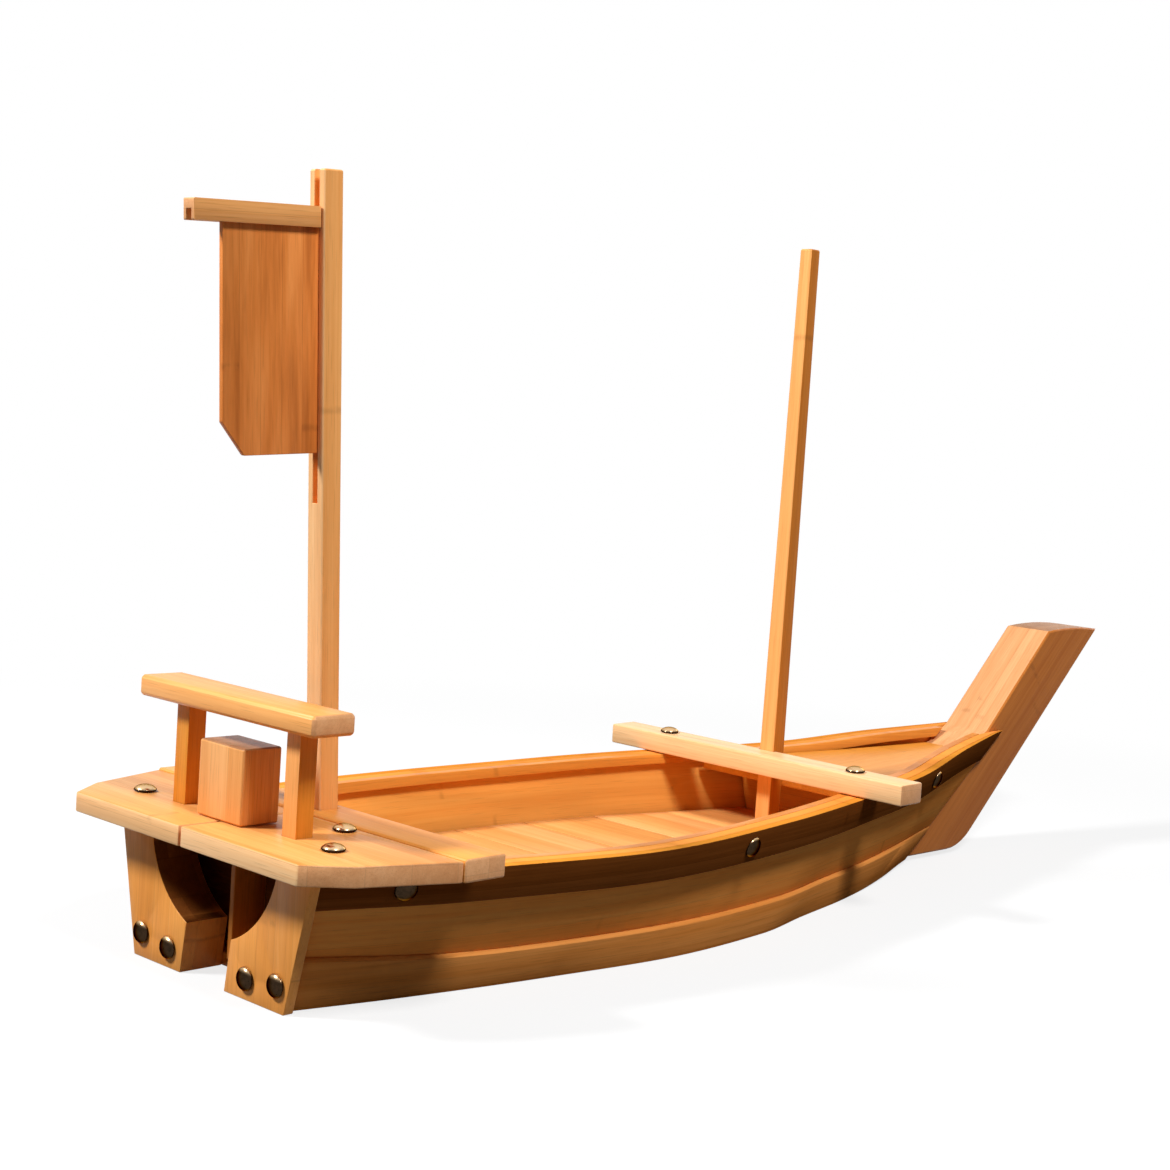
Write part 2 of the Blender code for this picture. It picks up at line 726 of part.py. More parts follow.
def build_rudder():
    """Rudder head standing on the deck and the thin blade that hangs from it through the deck slot."""
    origin = (RUDDER_HEAD_STATION + RUDDER_HEAD_LENGTH / 2, 0.0, DECK_TOP)
    head_half = RUDDER_HEAD_WIDTH / 2
    head_low = DECK_TOP + GAP
    head = make_object(
        "rudder_head",
        box_mesh(
            (RUDDER_HEAD_STATION, -head_half, head_low),
            (RUDDER_HEAD_STATION + RUDDER_HEAD_LENGTH, head_half, DECK_TOP + RUDDER_HEAD_HEIGHT),
        ),
        "honey_bamboo",
        origin,
    )
    add_bevel(head, RUDDER_HEAD_BEVEL, 1)
    blade_half = RUDDER_BLADE_THICKNESS / 2
    tenon_top = head_low + RUDDER_TENON_DEPTH
    blade_end = RUDDER_BLADE_STATION + RUDDER_BLADE_LENGTH
    tenon_end = min(blade_end, RUDDER_HEAD_STATION + RUDDER_HEAD_LENGTH) - RUDDER_TENON_SHOULDER
    blade_outline = [
        (RUDDER_BLADE_STATION, RUDDER_BLADE_FOOT),
        (blade_end, RUDDER_BLADE_FOOT),
        (blade_end, DECK_TOP - GAP),
        (tenon_end, DECK_TOP - GAP),
        (tenon_end, tenon_top),
        (RUDDER_BLADE_STATION, tenon_top),
    ]
    blade_mesh = prism_mesh(blade_outline, in_profile, -blade_half, blade_half)
    make_object("rudder_blade", blade_mesh, "dark_bamboo", origin)
    socket = box_mesh(
        (RUDDER_BLADE_STATION - GAP, -blade_half - GAP, head_low - CUT_MARGIN),
        (tenon_end + GAP, blade_half + GAP, tenon_top + GAP),
    )
    cut(head, socket, "blade_socket")


def build_handrail():
    """Two square posts let into the deck and the plain bar across their tops."""
    bar_low = DECK_TOP + RAIL_CLEAR_HEIGHT
    bar = make_object(
        "handrail_bar",
        box_mesh(
            (HANDRAIL_STATION, -HANDRAIL_HALF, bar_low),
            (HANDRAIL_STATION + HANDRAIL_WIDTH, HANDRAIL_HALF, bar_low + HANDRAIL_THICKNESS),
        ),
        "honey_bamboo",
    )
    add_bevel(bar, HANDRAIL_BEVEL, 2)
    half = RAIL_POST_SIDE / 2
    for side, side_name in ((1, "port"), (-1, "starboard")):
        y = side * RAIL_POST_OFFSET
        low = (RAIL_POST_STATION, y - half, DECK_TOP - RAIL_MORTISE + GAP)
        high = (RAIL_POST_STATION + RAIL_POST_SIDE, y + half, bar_low + RAIL_MORTISE - GAP)
        make_object(f"handrail_post_{side_name}", box_mesh(low, high), "pale_bamboo")
        room = Vector((SOCKET_CLEARANCE, SOCKET_CLEARANCE, 0.0))
        mortise = box_mesh(
            Vector((low[0], low[1], bar_low - CUT_MARGIN)) - room,
            Vector((high[0], high[1], bar_low + RAIL_MORTISE)) + room,
        )
        cut(bar, mortise, f"mortise_{side_name}")


def mast_point(height, forward=0.0, across=0.0):
    """Point in the raked frame of the main mast: height along it from deck level, forward and across."""
    return (
        MAST_STATION + forward * math.cos(MAST_LEAN) + height * math.sin(MAST_LEAN),
        across,
        DECK_TOP - forward * math.sin(MAST_LEAN) + height * math.cos(MAST_LEAN),
    )


def mast_box(low, high):
    """Box in the raked frame of the main mast; corners are (forward, across, height)."""
    rings = []
    for height in (low[2], high[2]):
        corners = ((low[0], low[1]), (high[0], low[1]), (high[0], high[1]), (low[0], high[1]))
        rings.append([mast_point(height, forward, across) for forward, across in corners])
    return loft_mesh(rings)


def build_stern_beam():
    """Crossbeam ahead of the stern deck, with the square hole that the main mast passes through."""
    beam = make_object(
        "stern_crossbeam",
        box_mesh(
            (STERN_BEAM_STATION, -STERN_BEAM_HALF, STERN_BEAM_BOTTOM),
            (STERN_BEAM_STATION + STERN_BEAM_WIDTH, STERN_BEAM_HALF, STERN_BEAM_TOP),
        ),
        "pale_bamboo",
    )
    add_bevel(beam, BEAM_BEVEL, 2)
    half = MAST_SIDE / 2 + SOCKET_CLEARANCE
    reach = DECK_THICKNESS + STERN_BEAM_THICKNESS + CUT_MARGIN
    cut(beam, mast_box((-half, -half, -reach), (half, half, reach)), "mast_hole")


def build_main_mast():
    """Main mast with its step, the yard tenoned into it and the sail panel in their grooves."""
    half = MAST_SIDE / 2
    step_low = BOTTOM_THICKNESS + GAP
    drop = DECK_TOP - step_low - MAST_STEP_FLOOR - GAP
    foot = half * abs(math.tan(MAST_LEAN)) - drop / math.cos(MAST_LEAN)
    origin = mast_point(0.0)
    mast_mesh = mast_box((-half, -half, foot), (half, half, MAST_HEIGHT_ABOVE_DECK))
    mast = make_object("main_mast", mast_mesh, "pale_bamboo", origin)
    add_bevel(mast, MAST_BEVEL, 1)

    yard_low = YARD_TOP - YARD_HEIGHT
    sail_low = yard_low - SAIL_HEIGHT
    groove_half = GROOVE_WIDTH / 2
    groove = mast_box(
        (-half - CUT_MARGIN, -groove_half, sail_low - GROOVE_BELOW_SAIL),
        (-half + GROOVE_DEPTH, groove_half, MAST_HEIGHT_ABOVE_DECK + CUT_MARGIN),
    )
    cut(mast, groove, "sail_groove")

    sail_half = SAIL_THICKNESS / 2
    yard_profile = [
        (-half - YARD_LENGTH, yard_low),
        (-half - GAP, yard_low),
        (-half - GAP, YARD_TOP),
        (-half - YARD_LENGTH, YARD_TOP),
    ]
    yard_mesh = loft_mesh(
        [[mast_point(h, f, across) for f, h in yard_profile] for across in (-YARD_WIDTH / 2, YARD_WIDTH / 2)]
    )
    yard = make_object("yard", yard_mesh, "honey_bamboo", origin)
    yard_groove_top = yard_low + YARD_HEIGHT / 2
    yard_groove = mast_box(
        (-half - YARD_LENGTH - CUT_MARGIN, -groove_half, yard_low - CUT_MARGIN),
        (-half + CUT_MARGIN, groove_half, yard_groove_top),
    )
    cut(yard, yard_groove, "sail_groove")

    sail_top = yard_groove_top - GAP
    sail_outline = [
        (-half - SAIL_DEPTH + SAIL_CORNER_LENGTH, sail_low),
        (-half + GROOVE_DEPTH - GAP, sail_low),
        (-half + GROOVE_DEPTH - GAP, sail_top),
        (-half - SAIL_DEPTH, sail_top),
        (-half - SAIL_DEPTH, sail_low + SAIL_CORNER_HEIGHT),
    ]
    sail_mesh = loft_mesh(
        [[mast_point(h, f, across) for f, h in sail_outline] for across in (-sail_half, sail_half)]
    )
    make_object("sail_panel", sail_mesh, "dark_bamboo", origin)

    step_centre = mast_point(foot)[0]
    step_half = MAST_STEP_SIDE / 2
    step = make_object(
        "main_mast_step",
        box_mesh(
            (step_centre - step_half, -step_half, step_low),
            (step_centre + step_half, step_half, step_low + MAST_STEP_HEIGHT),
        ),
        "honey_bamboo",
    )
    room = half + SOCKET_CLEARANCE
    reach = MAST_STEP_HEIGHT + CUT_MARGIN
    cut(step, mast_box((-room, -room, foot - GAP), (room, room, foot + reach)), "mast_socket")


def fore_beam_tilt():
    """Slope of the sheer under the fore crossbeam, which the beam follows."""
    rise = sheer_height(FORE_BEAM_STATION + FORE_BEAM_WIDTH) - sheer_height(FORE_BEAM_STATION)
    return math.atan2(rise, FORE_BEAM_WIDTH)


def build_fore_beam():
    """Crossbeam ahead of the serving well, notched for the fore mast and nailed to the hull."""
    tilt = fore_beam_tilt()
    seat = Vector((FORE_BEAM_STATION, 0.0, sheer_height(FORE_BEAM_STATION) + 2 * GAP))
    turn = Matrix.Translation(seat) @ Matrix.Rotation(-tilt, 4, "Y")
    mesh_data = box_mesh((0.0, -FORE_BEAM_HALF, 0.0), (FORE_BEAM_WIDTH, FORE_BEAM_HALF, FORE_BEAM_THICKNESS))
    bmesh.ops.transform(mesh_data, matrix=turn, verts=mesh_data.verts)
    beam = make_object("fore_crossbeam", mesh_data, "honey_bamboo")
    add_bevel(beam, BEAM_BEVEL, 2)
    notch = box_mesh(
        (FORE_MAST_STATION - FORE_MAST_HALF, -FORE_MAST_HALF, seat.z - CUT_MARGIN),
        (FORE_MAST_STATION + FORE_MAST_HALF + CUT_MARGIN, FORE_MAST_HALF, seat.z + 2 * FORE_BEAM_THICKNESS),
    )
    cut(beam, notch, "mast_notch")
    for side, side_name in ((1, "port"), (-1, "starboard")):
        point = turn @ Vector((FORE_BEAM_WIDTH / 2, side * FORE_BEAM_NAIL_OFFSET, FORE_BEAM_THICKNESS))
        outward = turn.to_3x3() @ Vector((0.0, 0.0, 1.0))
        drive_nail(f"beam_nail_{side_name}", point, outward, beam)


def build_fore_mast():
    """Slim tapered fore mast standing in its own step."""
    step_low = BOTTOM_THICKNESS + GAP
    foot = step_low + MAST_STEP_FLOOR + GAP
    shoulder = sheer_height(FORE_MAST_STATION) + FORE_BEAM_THICKNESS
    rings = []
    for z, side in (
        (foot, FORE_MAST_FOOT_SIDE),
        (shoulder, FORE_MAST_FOOT_SIDE),
        (FORE_MAST_TOP, FORE_MAST_TOP_SIDE),
    ):
        half = side / 2
        corners = ((-half, -half), (half, -half), (half, half), (-half, half))
        rings.append([(FORE_MAST_STATION + dx, dy, z) for dx, dy in corners])
    origin = (FORE_MAST_STATION, 0.0, foot)
    mast = make_object("fore_mast", loft_mesh(rings), "honey_bamboo", origin)
    add_bevel(mast, MAST_BEVEL, 1)

    step_half = MAST_STEP_SIDE / 2
    step = make_object(
        "fore_mast_step",
        box_mesh(
            (FORE_MAST_STATION - step_half, -step_half, step_low),
            (FORE_MAST_STATION + step_half, step_half, step_low + MAST_STEP_HEIGHT),
        ),
        "honey_bamboo",
    )
    socket = box_mesh(
        (FORE_MAST_STATION - FORE_MAST_HALF, -FORE_MAST_HALF, foot - GAP),
        (FORE_MAST_STATION + FORE_MAST_HALF, FORE_MAST_HALF, step_low + MAST_STEP_HEIGHT + CUT_MARGIN),
    )
    cut(step, socket, "mast_socket")


def floor_half(x, clearance):
    """Half width of a floor board at station x: inside the planks and, going up, inside the rails."""
    low = FLOOR_HEIGHT - FLOOR_THICKNESS
    rail = plank_inside(x, sheer_height(x) - RAIL_HEIGHT) - GAP - RAIL_WIDTH
    return min(plank_inside(x, low), rail) - clearance


def floor_board_mesh(start, end, clearance):
    """Board across the floor whose ends follow the hull."""
    stations = (start, (start + end) / 2, end)
    outline = [(x, floor_half(x, clearance)) for x in stations]
    outline += [(x, -floor_half(x, clearance)) for x in reversed(stations)]
    return prism_mesh(outline, in_plan, FLOOR_HEIGHT - FLOOR_THICKNESS, FLOOR_HEIGHT)


def build_floor():
    """Lift-out floor of cross boards on two battens, and the fixed board ahead of it."""
    origin = ((FLOOR_START + FLOOR_END) / 2, 0.0, FLOOR_HEIGHT)
    pitch = (FLOOR_END - FLOOR_START + FLOOR_BOARD_GAP) / FLOOR_BOARD_COUNT
    for number in range(FLOOR_BOARD_COUNT):
        start = FLOOR_START + number * pitch
        end = start + pitch - FLOOR_BOARD_GAP
        mesh_data = floor_board_mesh(start, end, LIFT_CLEARANCE)
        make_object(f"floor_board_{number + 1}", mesh_data, "pale_bamboo", origin)
    batten_start = max(FLOOR_START, mast_point(-DECK_TOP)[0] + MAST_STEP_SIDE / 2) + BATTEN_END_INSET
    for side, side_name in ((1, "port"), (-1, "starboard")):
        y = side * BATTEN_OFFSET
        batten = box_mesh(
            (batten_start, y - BATTEN_WIDTH / 2, BOTTOM_THICKNESS + GAP),
            (FLOOR_END - BATTEN_END_INSET, y + BATTEN_WIDTH / 2, FLOOR_HEIGHT - FLOOR_THICKNESS - GAP),
        )
        make_object(f"floor_batten_{side_name}", batten, "honey_bamboo", origin)

    start = FLOOR_END + LIFT_CLEARANCE
    fixed_mesh = floor_board_mesh(start, FORE_BULKHEAD_STATION - GAP, GAP)
    fixed = make_object("fore_floor_board", fixed_mesh, "pale_bamboo")
    hole = box_mesh(
        (FORE_MAST_STATION - FORE_MAST_HALF, -FORE_MAST_HALF, FLOOR_HEIGHT - FLOOR_THICKNESS - CUT_MARGIN),
        (FORE_MAST_STATION + FORE_MAST_HALF, FORE_MAST_HALF, FLOOR_HEIGHT + CUT_MARGIN),
    )
    cut(fixed, hole, "mast_hole")


def foredeck_top(x):
    """Height of the foredeck's upper face, below the rails."""
    return hull_curve(FOREDECK_HEIGHT, x)


def build_foredeck():
    """Pointed foredeck between the planks, from the fore mast to the stem."""
    start = FORE_MAST_STATION + FORE_MAST_HALF
    end = plank_end(sheer_height(STEM_TIP))
    for _ in range(6):
        end = stem_back(foredeck_top(end) - FOREDECK_THICKNESS) - GAP
    rings = []
    for step in range(SECTIONS_ALONG_HULL // 2 + 1):
        x = start + (end - start) * step / (SECTIONS_ALONG_HULL // 2)
        top = foredeck_top(x)
        low = top - FOREDECK_THICKNESS
        half = plank_inside(x, low) - GAP - RAIL_WIDTH - GAP
        rings.append([(x, -half, low), (x, half, low), (x, half, top), (x, -half, top)])
    make_object("foredeck", loft_mesh(rings), "pale_bamboo")


def build_boat():
    """Build every piece of the boat."""
    clear_scene()
    build_bottom()
    build_stem()
    for side, side_name in ((1, "port"), (-1, "starboard")):
        build_planking(side, side_name)
        build_leg(side, side_name)
        build_deck_half(side, side_name)
    build_bulkhead("stern_bulkhead", STERN_BULKHEAD_STATION, DECK_BOTTOM - GAP)
    fore_top = foredeck_top(FORE_BULKHEAD_STATION) - FOREDECK_THICKNESS - GAP
    build_bulkhead("fore_bulkhead", FORE_BULKHEAD_STATION, fore_top)
    build_rudder()
    build_handrail()
    build_stern_beam()
    build_main_mast()
    build_fore_beam()
    build_fore_mast()
    build_floor()
    build_foredeck()


build_boat()
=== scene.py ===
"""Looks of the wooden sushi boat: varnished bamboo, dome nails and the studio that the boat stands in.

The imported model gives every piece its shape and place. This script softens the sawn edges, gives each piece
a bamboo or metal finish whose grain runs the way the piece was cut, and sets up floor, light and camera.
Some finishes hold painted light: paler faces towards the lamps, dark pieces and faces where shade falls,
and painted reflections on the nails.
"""

import logging
import math
from dataclasses import dataclass
from enum import Enum
from typing import Optional, Sequence, Union

import bmesh
import bpy
from mathutils import Matrix, Vector

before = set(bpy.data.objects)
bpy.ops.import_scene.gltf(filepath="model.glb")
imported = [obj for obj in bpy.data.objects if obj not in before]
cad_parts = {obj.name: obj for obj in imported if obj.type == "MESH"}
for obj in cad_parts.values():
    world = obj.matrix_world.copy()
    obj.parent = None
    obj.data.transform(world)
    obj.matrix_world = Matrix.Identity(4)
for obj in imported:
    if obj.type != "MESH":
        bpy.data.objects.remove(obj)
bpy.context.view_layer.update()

LOG = logging.getLogger("sushi_boat")
MM = 0.001

Colour = tuple[float, float, float]
Axis = tuple[float, float, float]
Socket = bpy.types.NodeSocket
Source = Union[Socket, float, Colour, tuple[float, float, float, float]]
WHITE = (1.0, 1.0, 1.0, 1.0)

# Directions in the boat's frame; the last three look out from the stem's inner face and the legs' arches.
UP = (0.0, 0.0, 1.0)
TO_STERN = (-1.0, 0.0, 0.0)
TO_PORT = (0.0, 1.0, 0.0)
TO_STARBOARD = (0.0, -1.0, 0.0)
STEM_INNER = (-0.682, 0.0, 0.731)
PORT_ARCH = (0.0, -0.8, 0.6)
STARBOARD_ARCH = (0.0, 0.8, 0.6)

# Sockets of the mix node in its colour mode.
MIX_SHARE = 0
MIX_FIRST = 6
MIX_SECOND = 7
MIX_RESULT = 2

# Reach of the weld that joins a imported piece's loose triangles.
WELD_REACH = 0.01 * MM

# Each piece takes its own part of the grain: a step per seed along each axis, and the count of steps in use.
SEED_STEPS = ((0.137, 11), (0.0531, 7), (0.0417, 13))
SEED_STRIDE = 3

# Scales of the grain's noise per metre, along the fibres and across them twice.
WANDER_SCALE = (6.0, 40.0, 40.0)
CLOUD_SCALE = (9.0, 26.0, 26.0)
WEAR_SCALE = (160.0, 160.0, 160.0)
PORE_SCALE = (40.0, 1700.0, 1700.0)

# How far the edges of the strips wander, and how much a strip's own tone counts.
WANDER_WIDTH = 0.8 * MM
STRIP_WEIGHT = 0.46

# Rings of the cane: shift between strips, strips that show one, wear along it, and its dark core.
RING_SHIFT = 7.31
RING_STRIPS = (0.35, 0.45)
RING_WEAR = (0.32, 0.62)
RING_CORE = 0.1

# Spans of noise that become pores, dark fibres and pale fibres.
PORE_SPAN = (0.30, 0.12)
DARK_FIBRES = (0.42, 0.75)
PALE_FIBRES = (0.50, 0.24)

# Weights of the painted layers, the darkest tone as a share of brown, and honey's place from pale to brown.
THIN_LAYER = 0.7
RING_WEIGHT = 0.28
GLUE_WEIGHT = 0.30
DEEP_SHARE = 0.42
HONEY_STOP = 0.45

# Surface of the varnish: spread of its roughness, depth of glue lines against fibres, and the relief itself.
ROUGHNESS_SPREAD = 0.22
GLUE_RELIEF = 0.8
RELIEF_STRENGTH = 0.16
RELIEF_DEPTH = 0.35 * MM

# Rake of the main mast in degrees; the yard and the sail lean with it.
MAST_RAKE = 3.6


class Grain(Enum):
    """Direction of a piece's bamboo fibres, as the turn that brings them onto the pattern's X axis."""

    LENGTHWISE = (0.0, 0.0, 0.0)
    CROSSWISE = (0.0, 0.0, -90.0)
    UPRIGHT = (0.0, 90.0, 0.0)
    MAST = (0.0, 90.0 + MAST_RAKE, 0.0)
    YARD = (0.0, MAST_RAKE, 0.0)
    STEM = (0.0, 43.0, 0.0)

    def turn(self) -> tuple[float, float, float]:
        """Return the turn in radians."""
        return tuple(math.radians(angle) for angle in self.value)


class NodeBench:
    """Builds the nodes of one material or world."""

    def __init__(self, owner: Union[bpy.types.Material, bpy.types.World]) -> None:
        """Start with an empty node tree.

        Args:
            owner: material or world that the nodes belong to.
        """
        owner.use_nodes = True
        self.tree = owner.node_tree
        self.tree.nodes.clear()

    def add(self, kind: str, **settings: object) -> bpy.types.Node:
        """Add a node.

        Args:
            kind: Blender's name of the node type.
            settings: properties to set on the node.

        Returns:
            The new node.
        """
        node = self.tree.nodes.new(kind)
        for key, value in settings.items():
            setattr(node, key, value)
        return node

    def feed(self, socket: Socket, source: Source) -> None:
        """Link a socket to an output, or set it to a plain value.

        Args:
            socket: socket to feed.
            source: output to link, or value to set.
        """
        if isinstance(source, Socket):
            self.tree.links.new(source, socket)
        else:
            socket.default_value = source

    def math(self, operation: str, first: Source, second: Source = 0.0) -> Socket:
        """Do arithmetic on two sources.

        Args:
            operation: Blender's name of the operation.
            first: first source.
            second: second source.

        Returns:
            The result.
        """
        node = self.add("ShaderNodeMath", operation=operation)
        self.feed(node.inputs[0], first)
        self.feed(node.inputs[1], second)
        return node.outputs[0]

    def scaled(self, source: Socket, factor: float, offset: float) -> Socket:
        """Multiply a source and add an offset.

        Args:
            source: value to change.
            factor: number to multiply by.
            offset: number to add.

        Returns:
            The result.
        """
        node = self.add("ShaderNodeMath", operation="MULTIPLY_ADD")
        self.feed(node.inputs[0], source)
        node.inputs[1].default_value = factor
        node.inputs[2].default_value = offset
        return node.outputs[0]

    def ramp(self, source: Source, low: float, high: float) -> Socket:
        """Map a source smoothly from the span low to high onto 0 to 1; a low above high turns it round.

        Args:
            source: value to map.
            low: value that becomes 0.
            high: value that becomes 1.

        Returns:
            The mapped value.
        """
        node = self.add("ShaderNodeMapRange", interpolation_type="SMOOTHSTEP")
        self.feed(node.inputs["Value"], source)
        if low > high:
            low, high = high, low
            node.inputs["To Min"].default_value = 1.0
            node.inputs["To Max"].default_value = 0.0
        node.inputs["From Min"].default_value = low
        node.inputs["From Max"].default_value = high
        return node.outputs["Result"]

    def mix(self, share: Source, first: Source, second: Source) -> Socket:
        """Mix two colours.

        Args:
            share: share of the second colour.
            first: first colour.
            second: second colour.

        Returns:
            The mixed colour.
        """
        node = self.add("ShaderNodeMix", data_type="RGBA", clamp_result=True)
        self.feed(node.inputs[MIX_SHARE], share)
        self.feed(node.inputs[MIX_FIRST], first)
        self.feed(node.inputs[MIX_SECOND], second)
        return node.outputs[MIX_RESULT]

    def place(self, turn: Sequence[float], shift: Sequence[float], scale: Sequence[float]) -> Socket:
        """Give object coordinates, turned, scaled and shifted.

        Args:
            turn: turn in radians.
            shift: shift of the pattern.
            scale: scale of the pattern along each axis.

        Returns:
            The coordinates.
        """
        coordinates = self.add("ShaderNodeTexCoord")
        mapping = self.add("ShaderNodeMapping", vector_type="POINT")
        mapping.inputs["Rotation"].default_value = turn
        self.feed(mapping.inputs["Vector"], coordinates.outputs["Object"])
        stretched = self.add("ShaderNodeMapping", vector_type="POINT")
        stretched.inputs["Location"].default_value = shift
        stretched.inputs["Scale"].default_value = scale
        self.feed(stretched.inputs["Vector"], mapping.outputs["Vector"])
        return stretched.outputs["Vector"]

    def stretch(self, vector: Socket, scale: Sequence[float]) -> Socket:
        """Scale coordinates along each axis.

        Args:
            vector: coordinates.
            scale: scale along each axis.

        Returns:
            The scaled coordinates.
        """
        node = self.add("ShaderNodeVectorMath", operation="MULTIPLY")
        self.feed(node.inputs[0], vector)
        node.inputs[1].default_value = scale
        return node.outputs[0]

    def noise(self, vector: Socket, detail: float = 2.0, roughness: float = 0.5) -> Socket:
        """Give soft noise at a scale of one.

        Args:
            vector: coordinates.
            detail: number of finer layers.
            roughness: weight of the finer layers.

        Returns:
            Noise around one half.
        """
        node = self.add("ShaderNodeTexNoise")
        self.feed(node.inputs["Vector"], vector)
        node.inputs["Scale"].default_value = 1.0
        node.inputs["Detail"].default_value = detail
        node.inputs["Roughness"].default_value = roughness
        return node.outputs["Fac"]

    def bump(self, height: Socket, strength: float, depth: float) -> Socket:
        """Turn a height into a surface normal.

        Args:
            height: height from 0 to 1.
            strength: weight of the bump.
            depth: height of a full step in metres.

        Returns:
            The normal.
        """
        node = self.add("ShaderNodeBump")
        node.inputs["Strength"].default_value = strength
        node.inputs["Distance"].default_value = depth
        self.feed(node.inputs["Height"], height)
        return node.outputs["Normal"]

    def facing(self, axis: Axis, low: float, high: float) -> Socket:
        """Give 1 on the faces that look along an axis and 0 on the rest.

        Args:
            axis: direction in the boat's frame.
            low: cosine to the axis where the share is 0.
            high: cosine to the axis where the share is 1.

        Returns:
            The share.
        """
        along = self.add("ShaderNodeVectorMath", operation="DOT_PRODUCT")
        self.feed(along.inputs[0], self.add("ShaderNodeTexCoord").outputs["Normal"])
        along.inputs[1].default_value = axis
        return self.ramp(along.outputs["Value"], low, high)

    def principled(self) -> bpy.types.Node:
        """Add the surface shader and join it to the output.

        Returns:
            The shader.
        """
        shader = self.add("ShaderNodeBsdfPrincipled")
        output = self.add("ShaderNodeOutputMaterial")
        self.feed(output.inputs["Surface"], shader.outputs["BSDF"])
        return shader


@dataclass(frozen=True)
class Strip:
    """Section of the glued strips in a piece; flatten scales the pattern across a plank that bends."""

    width: float
    depth: float
    flatten: float = 1.0


@dataclass(frozen=True)
class GrainPattern:
    """Masks of one piece's grain, each from 0 to 1."""

    tone: Socket
    fibres: Socket
    flecks: Socket
    glue_line: Socket
    cane_joint: Socket


@dataclass(frozen=True)
class Facing:
    """Faces of a piece that look one way and show another finish."""

    axis: Axis
    finish: "BambooFinish"
    low: float = 0.50
    high: float = 0.75

    def share(self, bench: NodeBench) -> Socket:
        """Give 1 on the faces that look along the axis and 0 on the rest.

        Args:
            bench: the material's nodes.

        Returns:
            The share.
        """
        return bench.facing(self.axis, self.low, self.high)


